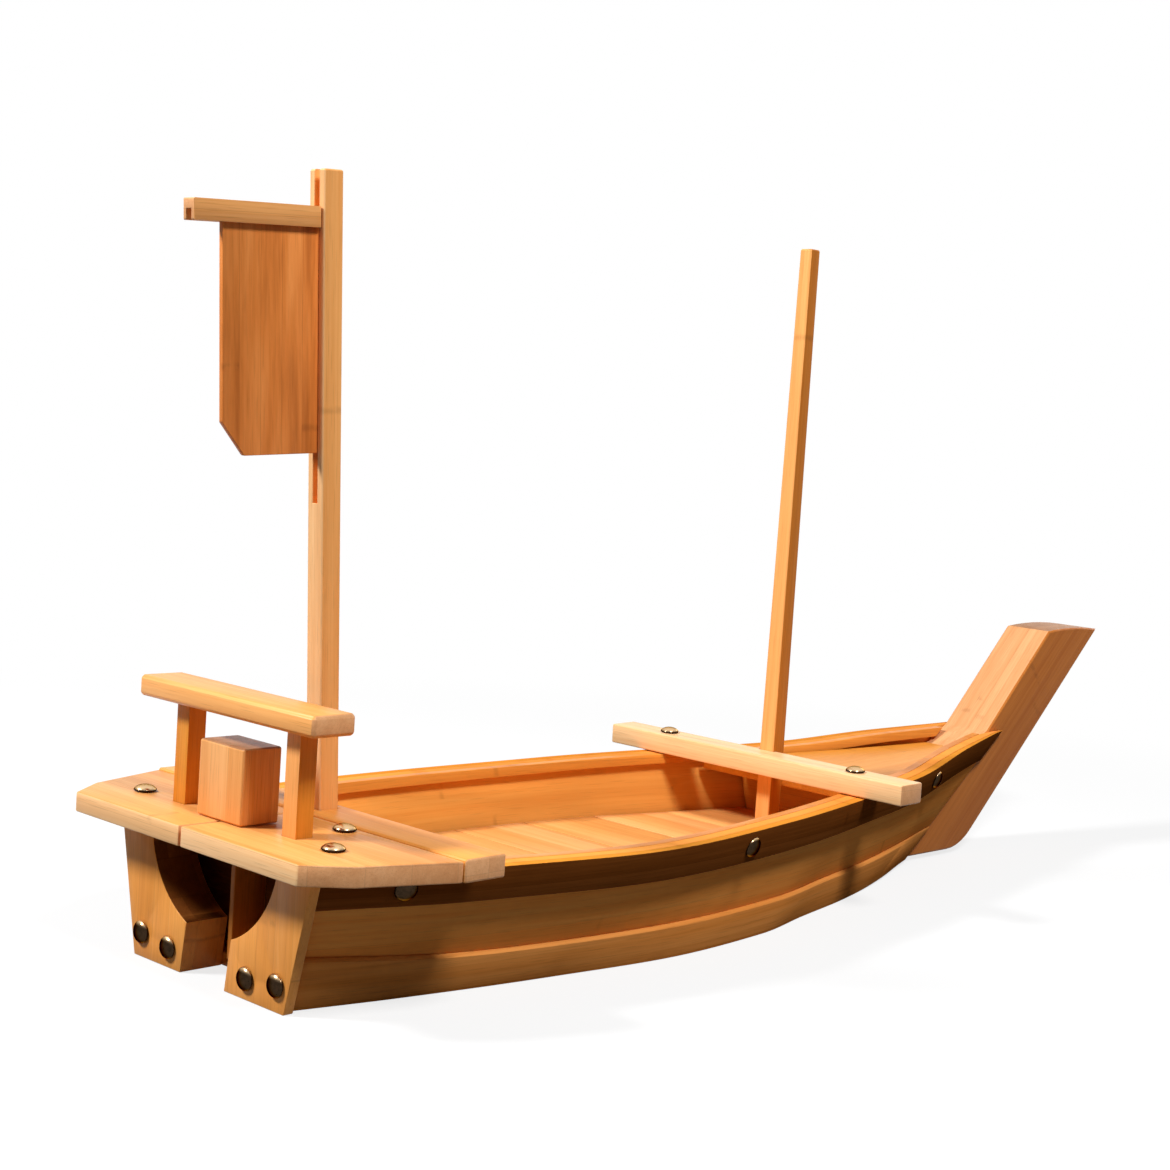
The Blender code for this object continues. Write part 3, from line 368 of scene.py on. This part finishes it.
@dataclass(frozen=True)
class BambooFinish:
    """Varnished laminated bamboo: glued strips with fine fibres, flecks and the darker rings of the cane."""

    name: str
    pale: Colour
    honey: Colour
    brown: Colour
    glue_line: float = 0.20 * MM
    cane_joint_pitch: float = 0.27
    cane_joint_width: float = 2.6 * MM
    contrast: float = 1.0
    streaks: float = 0.55
    clouds: float = 0.34
    band_scale: tuple[float, float, float] = (5.0, 210.0, 210.0)
    fibre_scale: tuple[float, float, float] = (14.0, 950.0, 950.0)
    fibre_weight: float = 0.34
    roughness: float = 0.36
    gloss: float = 0.12

    def material(
        self, name: str, grain: Grain, seed: int, strip: Strip, facings: Sequence[Facing] = ()
    ) -> bpy.types.Material:
        """Make the finish for one piece.

        Args:
            name: name of the piece.
            grain: direction of its fibres.
            seed: number that gives the piece its own part of the pattern.
            strip: size of the glued strips.
            facings: faces that show another finish.

        Returns:
            The material.
        """
        material = bpy.data.materials.new(f"{self.name}_{name}")
        bench = NodeBench(material)
        shift = tuple(step * (seed % count) for step, count in SEED_STEPS)
        spot = bench.place(grain.turn(), shift, (1.0, strip.flatten, 1.0))
        pattern = self._pattern(bench, spot, strip)
        colour = self.paint(bench, pattern)
        for facing in facings:
            colour = bench.mix(facing.share(bench), colour, facing.finish.paint(bench, pattern))

        shader = bench.principled()
        bench.feed(shader.inputs["Base Color"], colour)
        smoothest = self.roughness - ROUGHNESS_SPREAD / 2
        bench.feed(shader.inputs["Roughness"], bench.scaled(pattern.fibres, ROUGHNESS_SPREAD, smoothest))
        sunk = bench.math("MULTIPLY", pattern.glue_line, GLUE_RELIEF)
        relief = bench.math("SUBTRACT", pattern.fibres, sunk)
        bench.feed(shader.inputs["Normal"], bench.bump(relief, RELIEF_STRENGTH, RELIEF_DEPTH))
        shader.inputs["Specular IOR Level"].default_value = self.gloss
        return material

    def _pattern(self, bench: NodeBench, spot: Socket, strip: Strip) -> GrainPattern:
        """Draw the grain.

        Args:
            bench: the material's nodes.
            spot: coordinates with X along the fibres.
            strip: size of the glued strips.

        Returns:
            The masks of the grain.
        """
        parts = bench.add("ShaderNodeSeparateXYZ")
        bench.feed(parts.inputs[0], spot)
        wander = bench.noise(bench.stretch(spot, WANDER_SCALE), detail=1.0)
        wander = bench.scaled(wander, WANDER_WIDTH, -WANDER_WIDTH / 2)
        across = bench.math("DIVIDE", bench.math("ADD", parts.outputs["Y"], wander), strip.width)
        through = bench.math("DIVIDE", bench.math("ADD", parts.outputs["Z"], wander), strip.depth)
        cell = bench.add("ShaderNodeCombineXYZ")
        bench.feed(cell.inputs[0], bench.math("FLOOR", across))
        bench.feed(cell.inputs[1], bench.math("FLOOR", through))
        dice = bench.add("ShaderNodeTexWhiteNoise", noise_dimensions="3D")
        bench.feed(dice.inputs["Vector"], cell.outputs[0])
        own_tone = dice.outputs["Value"]

        bands = bench.noise(bench.stretch(spot, self.band_scale), detail=3.0, roughness=0.55)
        clouds = bench.noise(bench.stretch(spot, CLOUD_SCALE))
        strip_weight = STRIP_WEIGHT * self.contrast
        tone = bench.scaled(own_tone, strip_weight, 0.5 - strip_weight / 2)
        tone = bench.math("ADD", tone, bench.scaled(bands, self.streaks, -self.streaks / 2))
        tone = bench.math("ADD", tone, bench.scaled(clouds, self.clouds, -self.clouds / 2))
        side_line = self._line(bench, across, strip.width)
        flat_line = self._line(bench, through, strip.depth)
        return GrainPattern(
            tone=tone,
            fibres=bench.noise(bench.stretch(spot, self.fibre_scale), detail=4.0, roughness=0.62),
            flecks=self._flecks(bench, spot),
            glue_line=bench.math("MAXIMUM", side_line, flat_line),
            cane_joint=self._cane_joint(bench, spot, parts.outputs["X"], own_tone),
        )

    def _line(self, bench: NodeBench, place: Socket, size: float) -> Socket:
        """Give the glue lines between strips.

        Args:
            bench: the material's nodes.
            place: coordinate across the strips, counted in strips.
            size: size of a strip.

        Returns:
            The lines from 0 to 1.
        """
        from_middle = bench.math("ABSOLUTE", bench.math("SUBTRACT", bench.math("FRACT", place), 0.5))
        return bench.ramp(from_middle, 0.5 - self.glue_line / size, 0.5)

    def _cane_joint(self, bench: NodeBench, spot: Socket, along: Socket, own_tone: Socket) -> Socket:
        """Give the worn rings of the cane, at another place in each strip and missing in some.

        Args:
            bench: the material's nodes.
            spot: coordinates with X along the fibres.
            along: coordinate along the fibres.
            own_tone: the strip's own number from 0 to 1.

        Returns:
            The rings from 0 to 1.
        """
        start = bench.math("MULTIPLY", own_tone, RING_SHIFT)
        run = bench.math("ADD", bench.math("DIVIDE", along, self.cane_joint_pitch), start)
        ring = bench.math("ABSOLUTE", bench.math("SUBTRACT", bench.math("FRACT", run), 0.5))
        width = self.cane_joint_width / self.cane_joint_pitch
        worn = bench.noise(bench.stretch(spot, WEAR_SCALE))
        marked = bench.math("MULTIPLY", bench.ramp(own_tone, *RING_STRIPS), bench.ramp(worn, *RING_WEAR))
        return bench.math("MULTIPLY", bench.ramp(ring, width, width * RING_CORE), marked)

    @staticmethod
    def _flecks(bench: NodeBench, spot: Socket) -> Socket:
        """Give the dark pores: dashes along the fibres, dots on a sawn end.

        Args:
            bench: the material's nodes.
            spot: coordinates with X along the fibres.

        Returns:
            The flecks from 0 to 1.
        """
        pores = bench.add("ShaderNodeTexVoronoi", feature="F1", voronoi_dimensions="3D")
        bench.feed(pores.inputs["Vector"], bench.stretch(spot, PORE_SCALE))
        pores.inputs["Scale"].default_value = 1.0
        return bench.ramp(pores.outputs["Distance"], *PORE_SPAN)

    def paint(self, bench: NodeBench, pattern: GrainPattern) -> Socket:
        """Colour the grain.

        Args:
            bench: the material's nodes.
            pattern: masks of the grain.

        Returns:
            The colour.
        """
        tone = bench.add("ShaderNodeValToRGB")
        self._fill_ramp(tone.color_ramp)
        bench.feed(tone.inputs["Fac"], pattern.tone)
        deep = (*(DEEP_SHARE * part for part in self.brown), 1.0)
        thin = THIN_LAYER * self.fibre_weight
        layers = (
            (bench.ramp(pattern.fibres, *DARK_FIBRES), self.fibre_weight, (*self.brown, 1.0)),
            (bench.ramp(pattern.fibres, *PALE_FIBRES), thin, (*self.pale, 1.0)),
            (pattern.flecks, thin, deep),
            (pattern.cane_joint, RING_WEIGHT, deep),
            (pattern.glue_line, GLUE_WEIGHT, deep),
        )
        colour = tone.outputs["Color"]
        for mask, weight, layer in layers:
            colour = bench.mix(bench.math("MULTIPLY", mask, weight), colour, layer)
        return colour

    def _fill_ramp(self, ramp: bpy.types.ColorRamp) -> None:
        """Set a ramp from pale through honey to brown.

        Args:
            ramp: ramp to fill.
        """
        ramp.elements[0].position = 0.0
        ramp.elements[0].color = (*self.pale, 1.0)
        ramp.elements[1].position = 1.0
        ramp.elements[1].color = (*self.brown, 1.0)
        middle = ramp.elements.new(HONEY_STOP)
        middle.color = (*self.honey, 1.0)


@dataclass(frozen=True)
class NailFinish:
    """Polished dome nails with painted reflections: pale on tops that look up, dark on the flanks, golden
    underneath; the patina is the metal's own.
    """

    name: str = "antique_nail"
    # The bright, dark and golden colours are painted reflections of the light above, the dark surroundings
    # and the wood below; patina and stain are the metal's own.
    bright: Colour = (0.86, 0.580, 0.320)
    dark: Colour = (0.042, 0.024, 0.013)
    patina: Colour = (0.022, 0.014, 0.008)
    painted_under_reflection: Colour = (0.340, 0.160, 0.045)
    rim: Colour = (0.300, 0.180, 0.090)
    top_reflection_span: tuple[float, float] = (0.34, 0.86)
    under_reflection_span: tuple[float, float] = (-0.55, -0.85)
    stain_scale: float = 420.0
    stain_span: tuple[float, float] = (0.32, 0.78)
    pit_scale: float = 1500.0
    pit_strength: float = 0.12
    pit_depth: float = 0.2 * MM
    roughness: float = 0.17
    roughness_spread: float = 0.16

    def material(self) -> bpy.types.Material:
        """Make the finish for all nails.

        Returns:
            The material.
        """
        material = bpy.data.materials.new(self.name)
        bench = NodeBench(material)
        spot = bench.place((0.0, 0.0, 0.0), (0.0, 0.0, 0.0), (1.0, 1.0, 1.0))
        stain = bench.noise(bench.stretch(spot, 3 * (self.stain_scale,)), detail=4.0, roughness=0.6)
        pits = bench.noise(bench.stretch(spot, 3 * (self.pit_scale,)))
        shader = bench.principled()
        worn = bench.ramp(stain, *self.stain_span)
        # Painted reflections: the dome is dark on its flanks, golden where it looks down and pale where it
        # looks up.
        flank = bench.mix(worn, (*self.dark, 1.0), (*self.patina, 1.0))
        low = bench.mix(bench.facing(UP, *self.under_reflection_span), flank, (*self.painted_under_reflection, 1.0))
        colour = bench.mix(bench.facing(UP, *self.top_reflection_span), low, (*self.bright, 1.0))
        bench.feed(shader.inputs["Base Color"], colour)
        bench.feed(shader.inputs["Roughness"], bench.scaled(worn, self.roughness_spread, self.roughness))
        bench.feed(shader.inputs["Normal"], bench.bump(pits, self.pit_strength, self.pit_depth))
        shader.inputs["Metallic"].default_value = 1.0
        shader.inputs["Specular Tint"].default_value = (*self.rim, 1.0)
        return material


HONEY = BambooFinish(
    "honey_bamboo",
    pale=(0.82, 0.350, 0.060),
    honey=(0.74, 0.280, 0.034),
    brown=(0.57, 0.175, 0.017),
)
HULL = BambooFinish(
    "hull_bamboo",
    pale=(0.92, 0.365, 0.090),
    honey=(0.80, 0.272, 0.050),
    brown=(0.54, 0.146, 0.021),
    contrast=1.25,
    streaks=1.00,
    roughness=0.42,
    gloss=0.0,
)
# Painted light: the hull's finish made lighter for the upper strakes, so that they come out as bright as the
# lower strakes though the wale shades them.
SHEER_PAINTED_LIGHT = BambooFinish(
    "sheer_painted_light_bamboo",
    pale=(0.99, 0.432, 0.106),
    honey=(0.97, 0.352, 0.069),
    brown=(0.78, 0.229, 0.036),
    contrast=1.25,
    streaks=1.00,
    roughness=0.42,
    gloss=0.0,
)
RUDDY = BambooFinish(
    "ruddy_bamboo",
    pale=(0.68, 0.250, 0.058),
    honey=(0.61, 0.202, 0.038),
    brown=(0.45, 0.120, 0.018),
    contrast=1.20,
    streaks=1.00,
    roughness=0.42,
    gloss=0.08,
)
PALE = BambooFinish(
    "pale_bamboo",
    pale=(0.84, 0.430, 0.150),
    honey=(0.78, 0.355, 0.100),
    brown=(0.60, 0.215, 0.043),
    streaks=0.80,
    clouds=0.60,
    fibre_weight=0.42,
)
BLOND = BambooFinish(
    "blond_bamboo",
    pale=(0.90, 0.470, 0.185),
    honey=(0.86, 0.400, 0.130),
    brown=(0.66, 0.245, 0.056),
    contrast=1.30,
    streaks=0.80,
    fibre_weight=0.42,
)
# Pale finish of sawn end grain, also used as a painted highlight on the stem's inner face.
CUT_AND_HIGHLIGHT = BambooFinish(
    "cut_and_highlight_bamboo",
    pale=(0.86, 0.470, 0.235),
    honey=(0.80, 0.400, 0.180),
    brown=(0.64, 0.270, 0.100),
    streaks=0.80,
    fibre_weight=0.42,
)
# Pale finish of the fore crossbeam, also painted as a highlight on faces that look to the stern.
CREAM = BambooFinish(
    "cream_bamboo",
    pale=(0.97, 0.630, 0.330),
    honey=(0.93, 0.560, 0.270),
    brown=(0.78, 0.390, 0.150),
    streaks=0.80,
    fibre_weight=0.42,
)
# Finish of the main mast, also painted as a highlight on faces that look to the stern.
GILT = BambooFinish(
    "gilt_bamboo",
    pale=(0.97, 0.500, 0.180),
    honey=(0.94, 0.450, 0.145),
    brown=(0.78, 0.300, 0.070),
    streaks=0.80,
    fibre_weight=0.42,
)
TAN = BambooFinish(
    "tan_bamboo",
    pale=(0.66, 0.235, 0.036),
    honey=(0.58, 0.188, 0.021),
    brown=(0.43, 0.120, 0.011),
    streaks=0.80,
    fibre_weight=0.42,
)
# Dark end-grain finish, also painted shade on the rudder head's top.
END = BambooFinish(
    "end_bamboo",
    pale=(0.47, 0.245, 0.115),
    honey=(0.41, 0.195, 0.085),
    brown=(0.30, 0.130, 0.050),
)
# Painted light: a lighter finish for the upper strakes' inner faces, which look towards the lamps.
INNER_PAINTED_LIGHT = BambooFinish(
    "inner_painted_light_bamboo",
    pale=(0.98, 0.490, 0.125),
    honey=(0.96, 0.440, 0.097),
    brown=(0.82, 0.310, 0.056),
)
AMBER = BambooFinish(
    "amber_bamboo",
    pale=(0.92, 0.420, 0.105),
    honey=(0.86, 0.350, 0.072),
    brown=(0.68, 0.230, 0.038),
)
BROWN = BambooFinish(
    "brown_bamboo",
    pale=(0.87, 0.350, 0.062),
    honey=(0.80, 0.295, 0.044),
    brown=(0.54, 0.155, 0.018),
    contrast=1.10,
)
SAIL = BambooFinish(
    "sail_bamboo",
    pale=(0.90, 0.320, 0.080),
    honey=(0.74, 0.225, 0.044),
    brown=(0.40, 0.100, 0.015),
    contrast=0.80,
    streaks=1.70,
    band_scale=(11.0, 115.0, 115.0),
    fibre_scale=(38.0, 560.0, 560.0),
    fibre_weight=0.24,
)
# Dark finish for the wales' sides; on the stern bulkhead and the legs' arched cuts it is painted shade, where
# the stern deck shades them.
DARK_AND_SHADE = BambooFinish(
    "dark_and_shade_bamboo",
    pale=(0.27, 0.084, 0.018),
    honey=(0.18, 0.052, 0.009),
    brown=(0.11, 0.027, 0.005),
    gloss=0.0,
)


SAWN_ENDS = (Facing(TO_PORT, CUT_AND_HIGHLIGHT), Facing(TO_STARBOARD, CUT_AND_HIGHLIGHT))
# Painted highlight: paler finishes on faces that look to the stern, towards the key lamp.
STERN_HIGHLIGHT_CREAM = (Facing(TO_STERN, CREAM),)
STERN_HIGHLIGHT_GILT = (Facing(TO_STERN, GILT),)
CUT_STERN = (Facing(TO_STERN, CUT_AND_HIGHLIGHT),)
SQUARE_BAR = Strip(60.0 * MM, 60.0 * MM)
UPRIGHT_BLOCK = Strip(12.0 * MM, 12.0 * MM)


def set_surface(piece: bpy.types.Object, material: bpy.types.Material) -> None:
    """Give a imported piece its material, weld its loose triangles and shade it smooth.

    Args:
        piece: piece to change.
        material: its material.
    """
    piece.data.materials.clear()
    piece.data.materials.append(material)
    weld = piece.modifiers.new("weld", "WELD")
    weld.merge_threshold = WELD_REACH
    for polygon in piece.data.polygons:
        polygon.use_smooth = True


def both(*stems: str) -> list[str]:
    """Name the port and the starboard piece of each pair."""
    return [f"{stem}_{side}" for stem in stems for side in ("port", "starboard")]


@dataclass(frozen=True)
class Joinery:
    """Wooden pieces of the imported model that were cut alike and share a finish."""

    nodes: Sequence[str]
    finish: BambooFinish
    grain: Grain
    seed: int
    edge_radius: float = 0.6 * MM
    edge_segments: int = 3
    smooth_angle: float = 35.0
    strip: Strip = Strip(19.0 * MM, 8.0 * MM)
    facings: Sequence[Facing] = ()

    def dress(self) -> None:
        """Set the finish of every piece and ease its edges."""
        for number, node in enumerate(self.nodes):
            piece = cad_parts[node]
            seed = self.seed + SEED_STRIDE * number
            set_surface(piece, self.finish.material(node, self.grain, seed, self.strip, self.facings))
            self._ease(piece)
            LOG.info("dressed %s", node)

    def _ease(self, piece: bpy.types.Object) -> None:
        """Round a piece's sawn edges.

        Args:
            piece: piece to round.
        """
        bevel = piece.modifiers.new("eased_edges", "BEVEL")
        bevel.width = self.edge_radius
        bevel.segments = self.edge_segments
        bevel.limit_method = "ANGLE"
        bevel.angle_limit = math.radians(self.smooth_angle)
        bevel.use_clamp_overlap = True
        bevel.harden_normals = True


class SubAssembly:
    """Wooden pieces that are put together as one part of the boat."""

    def joinery(self) -> list[Joinery]:
        """List the pieces by how they were cut; each part of the boat has its own list."""
        raise NotImplementedError

    def dress(self) -> None:
        """Dress every piece."""
        for group in self.joinery():
            group.dress()


@dataclass(frozen=True)
class Hull(SubAssembly):
    """Strakes, rails, bottom, foredeck, bulkheads, stem post and transom legs."""

    plank_edge: float = 0.25 * MM
    stem_edge: float = 0.9 * MM
    plank: Strip = Strip(19.0 * MM, 24.0 * MM, flatten=0.0)
    stem: Strip = Strip(6.0 * MM, 40.0 * MM)

    def joinery(self) -> list[Joinery]:
        """List the hull's pieces.

        Returns:
            One group for each finish and grain.
        """
        along = Grain.LENGTHWISE
        across = Grain.CROSSWISE
        upright = Grain.UPRIGHT
        # The stem's top shows its end grain; its inner face, which looks aft and up to the key lamp, gets a
        # painted highlight in the pale cut finish.
        stem_top_and_highlight = (
            Facing(UP, END, low=0.88, high=0.96),
            Facing(STEM_INNER, CUT_AND_HIGHLIGHT, low=0.85, high=0.95),
        )
        # Painted shade: the legs' arched cuts, which lie in shade under the stern deck, are painted in the
        # dark finish.
        arches = (PORT_ARCH, STARBOARD_ARCH)
        arch_painted_shade = tuple(Facing(axis, DARK_AND_SHADE, low=0.84, high=0.92) for axis in arches)
        return [
            self._planks(both("lower_strake"), HULL, seed=1),
            # Painted light: the upper strakes are painted lighter than the lower ones, and lighter still on
            # their inner faces.
            self._planks(["upper_strake_port"], SHEER_PAINTED_LIGHT, seed=7, facing=Facing(TO_STARBOARD, INNER_PAINTED_LIGHT)),
            self._planks(["upper_strake_starboard"], SHEER_PAINTED_LIGHT, seed=8, facing=Facing(TO_PORT, INNER_PAINTED_LIGHT)),
            # The wales are dark on their sides and honey on their tops.
            self._planks(both("wale"), DARK_AND_SHADE, seed=5, facing=Facing(UP, HONEY)),
            self._planks(both("inner_rail"), BROWN, seed=2),
            Joinery(["bottom_board", "foredeck"], HONEY, along, seed=4),
            Joinery(
                ["stem_post"],
                RUDDY,
                Grain.STEM,
                seed=5,
                edge_radius=self.stem_edge,
                strip=self.stem,
                facings=stem_top_and_highlight,
            ),
            Joinery(both("transom_leg"), AMBER, upright, seed=6, strip=UPRIGHT_BLOCK, facings=arch_painted_shade),
            # Painted shade: the stern bulkhead, in shade under the stern deck, is painted in the dark finish.
            Joinery(["stern_bulkhead"], DARK_AND_SHADE, across, seed=12),
            Joinery(["fore_bulkhead"], HONEY, across, seed=12),
        ]

    def _planks(
        self, nodes: Sequence[str], finish: BambooFinish, seed: int, facing: Optional[Facing] = None
    ) -> Joinery:
        """Group planks that bend along the hull.

        Args:
            nodes: names of the planks.
            finish: their finish.
            seed: number of the first plank's grain.
            facing: faces that show another finish, if any.

        Returns:
            The group.
        """
        along = Grain.LENGTHWISE
        facings = (facing,) if facing else ()
        return Joinery(nodes, finish, along, seed, self.plank_edge, strip=self.plank, facings=facings)


@dataclass(frozen=True)
class SternDeck(SubAssembly):
    """Deck halves over the stern with their crossbeam, the handrail and the rudder."""

    handrail_edge: float = 1.2 * MM
    blade_edge: float = 0.4 * MM

    def joinery(self) -> list[Joinery]:
        """List the stern deck's pieces.

        Returns:
            One group for each finish and grain.
        """
        across = Grain.CROSSWISE
        upright = Grain.UPRIGHT
        # Painted highlight: the handrail bar, the starboard post and the deck halves are paler on their faces
        # that look to the stern.
        bar_faces = STERN_HIGHLIGHT_GILT + SAWN_ENDS
        # The rudder head's top is end grain, and its dark finish is also painted shade of the handrail above
        # it.
        head_top = (Facing(UP, END),)
        port_post = ["handrail_post_port"]
        starboard_post = ["handrail_post_starboard"]
        return [
            Joinery(port_post, HONEY, upright, seed=6, strip=SQUARE_BAR),
            Joinery(starboard_post, HONEY, upright, seed=7, strip=SQUARE_BAR, facings=STERN_HIGHLIGHT_GILT),
            Joinery(
                ["handrail_bar"],
                PALE,
                across,
                seed=7,
                edge_radius=self.handrail_edge,
                strip=SQUARE_BAR,
                facings=bar_faces,
            ),
            Joinery(["rudder_head"], BLOND, upright, seed=8, strip=UPRIGHT_BLOCK, facings=head_top),
            Joinery(["rudder_blade"], TAN, upright, seed=9, edge_radius=self.blade_edge),
            Joinery(both("stern_deck"), PALE, across, seed=3, facings=STERN_HIGHLIGHT_CREAM + SAWN_ENDS),
            Joinery(["stern_crossbeam"], AMBER, across, seed=9, facings=SAWN_ENDS),
        ]


@dataclass(frozen=True)
class ServingFloor(SubAssembly):
    """Loose floor of boards on two battens, with the fixed board ahead of it."""

    board_count: int = 6

    def joinery(self) -> list[Joinery]:
        """List the floor's pieces; every other board is of paler wood.

        Returns:
            One group for each finish and grain.
        """
        boards = [f"floor_board_{number}" for number in range(1, self.board_count + 1)]
        return [
            Joinery(boards[::2] + ["fore_floor_board"], PALE, Grain.CROSSWISE, seed=10),
            Joinery(boards[1::2], BLOND, Grain.CROSSWISE, seed=18),
            Joinery(both("floor_batten"), HONEY, Grain.LENGTHWISE, seed=13),
        ]


@dataclass(frozen=True)
class Rig(SubAssembly):
    """Masts with their steps, the fore crossbeam, the yard and the sail panel."""

    sail_edge: float = 0.4 * MM
    sail: Strip = Strip(19.0 * MM, 11.0 * MM)
    yard: Strip = Strip(60.0 * MM, 4.6 * MM)

    def joinery(self) -> list[Joinery]:
        """List the rig's pieces.

        Returns:
            One group for each finish and grain.
        """
        across = Grain.CROSSWISE
        return [
            Joinery(["fore_crossbeam"], CREAM, across, seed=10, facings=SAWN_ENDS),
            Joinery(["main_mast_step", "fore_mast_step"], HONEY, across, seed=14),
            # Painted highlight: both masts are paler on their faces that look to the stern.
            Joinery(["main_mast"], GILT, Grain.MAST, seed=15, strip=SQUARE_BAR, facings=STERN_HIGHLIGHT_CREAM),
            Joinery(["fore_mast"], TAN, Grain.UPRIGHT, seed=16, strip=SQUARE_BAR, facings=STERN_HIGHLIGHT_GILT),
            Joinery(["yard"], BLOND, Grain.YARD, seed=17, strip=self.yard, facings=CUT_STERN),
            Joinery(["sail_panel"], SAIL, Grain.MAST, seed=21, edge_radius=self.sail_edge, strip=self.sail),
        ]


@dataclass(frozen=True)
class Nails:
    """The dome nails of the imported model, rounded and given their metal."""

    finish: NailFinish = NailFinish()
    mark: str = "_nail_"
    levels: int = 2

    def dress(self) -> None:
        """Set the finish of every nail and round it."""
        metal = self.finish.material()
        for name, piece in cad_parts.items():
            if self.mark not in name:
                continue
            set_surface(piece, metal)
            rounding = piece.modifiers.new("rounding", "SUBSURF")
            rounding.levels = self.levels
            rounding.render_levels = self.levels
            LOG.info("dressed %s", name)


@dataclass(frozen=True)
class SoftBox:
    """A square lamp with soft edges to its shadows."""

    name: str
    place: Axis
    size: float
    power: float

    def hang(self, target: Axis) -> None:
        """Hang the lamp so that it looks at a target.

        Args:
            target: place that it looks at.
        """
        light = bpy.data.lights.new(self.name, "AREA")
        light.size = self.size
        light.energy = self.power
        lamp = bpy.data.objects.new(self.name, light)
        lamp.location = self.place
        look = Vector(target) - Vector(self.place)
        lamp.rotation_euler = look.to_track_quat("-Z", "Y").to_euler()
        bpy.context.scene.collection.objects.link(lamp)


@dataclass(frozen=True)
class Studio:
    """White table, white backdrop and soft lamps around the boat."""

    floor_size: float = 12.0
    floor_bounce: float = 0.15
    floor_white: float = 0.93
    floor_drop: float = 0.2 * MM
    shadow_share: float = 0.22
    shadow_reach: tuple[float, float] = (0.45, 0.85)
    ambient: float = 0.06
    target: Axis = (0.0, 0.0, 0.08)
    lamps: tuple[SoftBox, ...] = (
        SoftBox("key_light", (-1.34, 0.68, 1.40), size=0.32, power=41.0),
        SoftBox("fill_light", (-0.40, -1.10, 1.60), size=0.4, power=29.0),
        SoftBox("back_light", (1.90, 0.35, 0.70), size=0.8, power=6.0),
    )

    def build(self) -> None:
        """Build the table, the backdrop and the lamps."""
        self._table()
        self._backdrop()
        for lamp in self.lamps:
            lamp.hang(self.target)

    def _table(self) -> None:
        """Build the table top, white to the camera but for the boat's shadow."""
        grid = bmesh.new()
        bmesh.ops.create_grid(grid, x_segments=1, y_segments=1, size=self.floor_size / 2)
        bmesh.ops.translate(grid, vec=(0.0, 0.0, -self.floor_drop), verts=grid.verts)
        mesh = bpy.data.meshes.new("table_top")
        grid.to_mesh(mesh)
        grid.free()
        floor = bpy.data.objects.new("table_top", mesh)
        bpy.context.scene.collection.objects.link(floor)
        mesh.materials.append(self._table_white())

    def _table_white(self) -> bpy.types.Material:
        """Make the table's paint, which reflects little light onto the boat and fades the shadow outwards.

        Returns:
            The material.
        """
        material = bpy.data.materials.new("table_white")
        bench = NodeBench(material)
        seen = self._seen(bench)
        paint = bench.add("ShaderNodeBsdfDiffuse")
        white = bench.scaled(seen, self.floor_white - self.floor_bounce, self.floor_bounce)
        bench.feed(paint.inputs["Color"], white)
        glow = bench.add("ShaderNodeEmission")
        distance = bench.add("ShaderNodeVectorMath", operation="LENGTH")
        bench.feed(distance.inputs[0], bench.add("ShaderNodeTexCoord").outputs["Object"])
        near, far = self.shadow_reach
        fade = bench.ramp(distance.outputs["Value"], far, near)
        clear = bench.scaled(fade, -self.shadow_share, 1.0)
        blend = bench.add("ShaderNodeMixShader")
        bench.feed(blend.inputs[0], bench.math("MULTIPLY", seen, clear))
        bench.feed(blend.inputs[1], paint.outputs[0])
        bench.feed(blend.inputs[2], glow.outputs[0])
        output = bench.add("ShaderNodeOutputMaterial")
        bench.feed(output.inputs["Surface"], blend.outputs[0])
        return material

    @staticmethod
    def _seen(bench: NodeBench) -> Socket:
        """Give 1 for rays of the camera, of reflections and of glass, and 0 for the light on the boat.

        Args:
            bench: nodes of the table's material or of the world.

        Returns:
            The switch.
        """
        path = bench.add("ShaderNodeLightPath")
        mirrored = bench.math("MAXIMUM", path.outputs["Is Glossy Ray"], path.outputs["Is Transmission Ray"])
        return bench.math("MAXIMUM", path.outputs["Is Camera Ray"], mirrored)

    def _backdrop(self) -> None:
        """Set a white backdrop that lights the boat at a lower level."""
        world = bpy.data.worlds.new("backdrop")
        bench = NodeBench(world)
        background = bench.add("ShaderNodeBackground")
        background.inputs["Color"].default_value = WHITE
        strength = bench.scaled(self._seen(bench), 1.0 - self.ambient, self.ambient)
        bench.feed(background.inputs["Strength"], strength)
        output = bench.add("ShaderNodeOutputWorld")
        bench.feed(output.inputs["Surface"], background.outputs[0])
        bpy.context.scene.world = world


@dataclass(frozen=True)
class View:
    """The camera, set by where it stands and how it is turned, in degrees."""

    place: Axis = (-0.8384, -0.6977, 0.2552)
    yaw: float = 46.056
    pitch: float = 4.881
    roll: float = 3.935
    level: float = 90.0
    lens: float = 62.08
    sensor: float = 36.0
    near_clip: float = 0.01

    def build(self) -> None:
        """Make the scene's camera."""
        data = bpy.data.cameras.new("view")
        data.lens = self.lens
        data.sensor_width = self.sensor
        data.sensor_fit = "HORIZONTAL"
        data.clip_start = self.near_clip
        camera = bpy.data.objects.new("view", data)
        turn = Matrix.Rotation(math.radians(-self.yaw), 4, "Z")
        tilt = Matrix.Rotation(math.radians(self.level - self.pitch), 4, "X")
        lean = Matrix.Rotation(math.radians(self.roll), 4, "Z")
        camera.matrix_world = Matrix.Translation(self.place) @ turn @ tilt @ lean
        bpy.context.scene.collection.objects.link(camera)
        bpy.context.scene.camera = camera


def main() -> None:
    """Dress the boat and set up the studio."""
    logging.basicConfig(level=logging.INFO)
    bpy.context.scene.view_settings.view_transform = "Standard"
    for part in (Hull(), SternDeck(), ServingFloor(), Rig(), Nails()):
        part.dress()
    Studio().build()
    View().build()


if __name__ == "__main__":
    main()
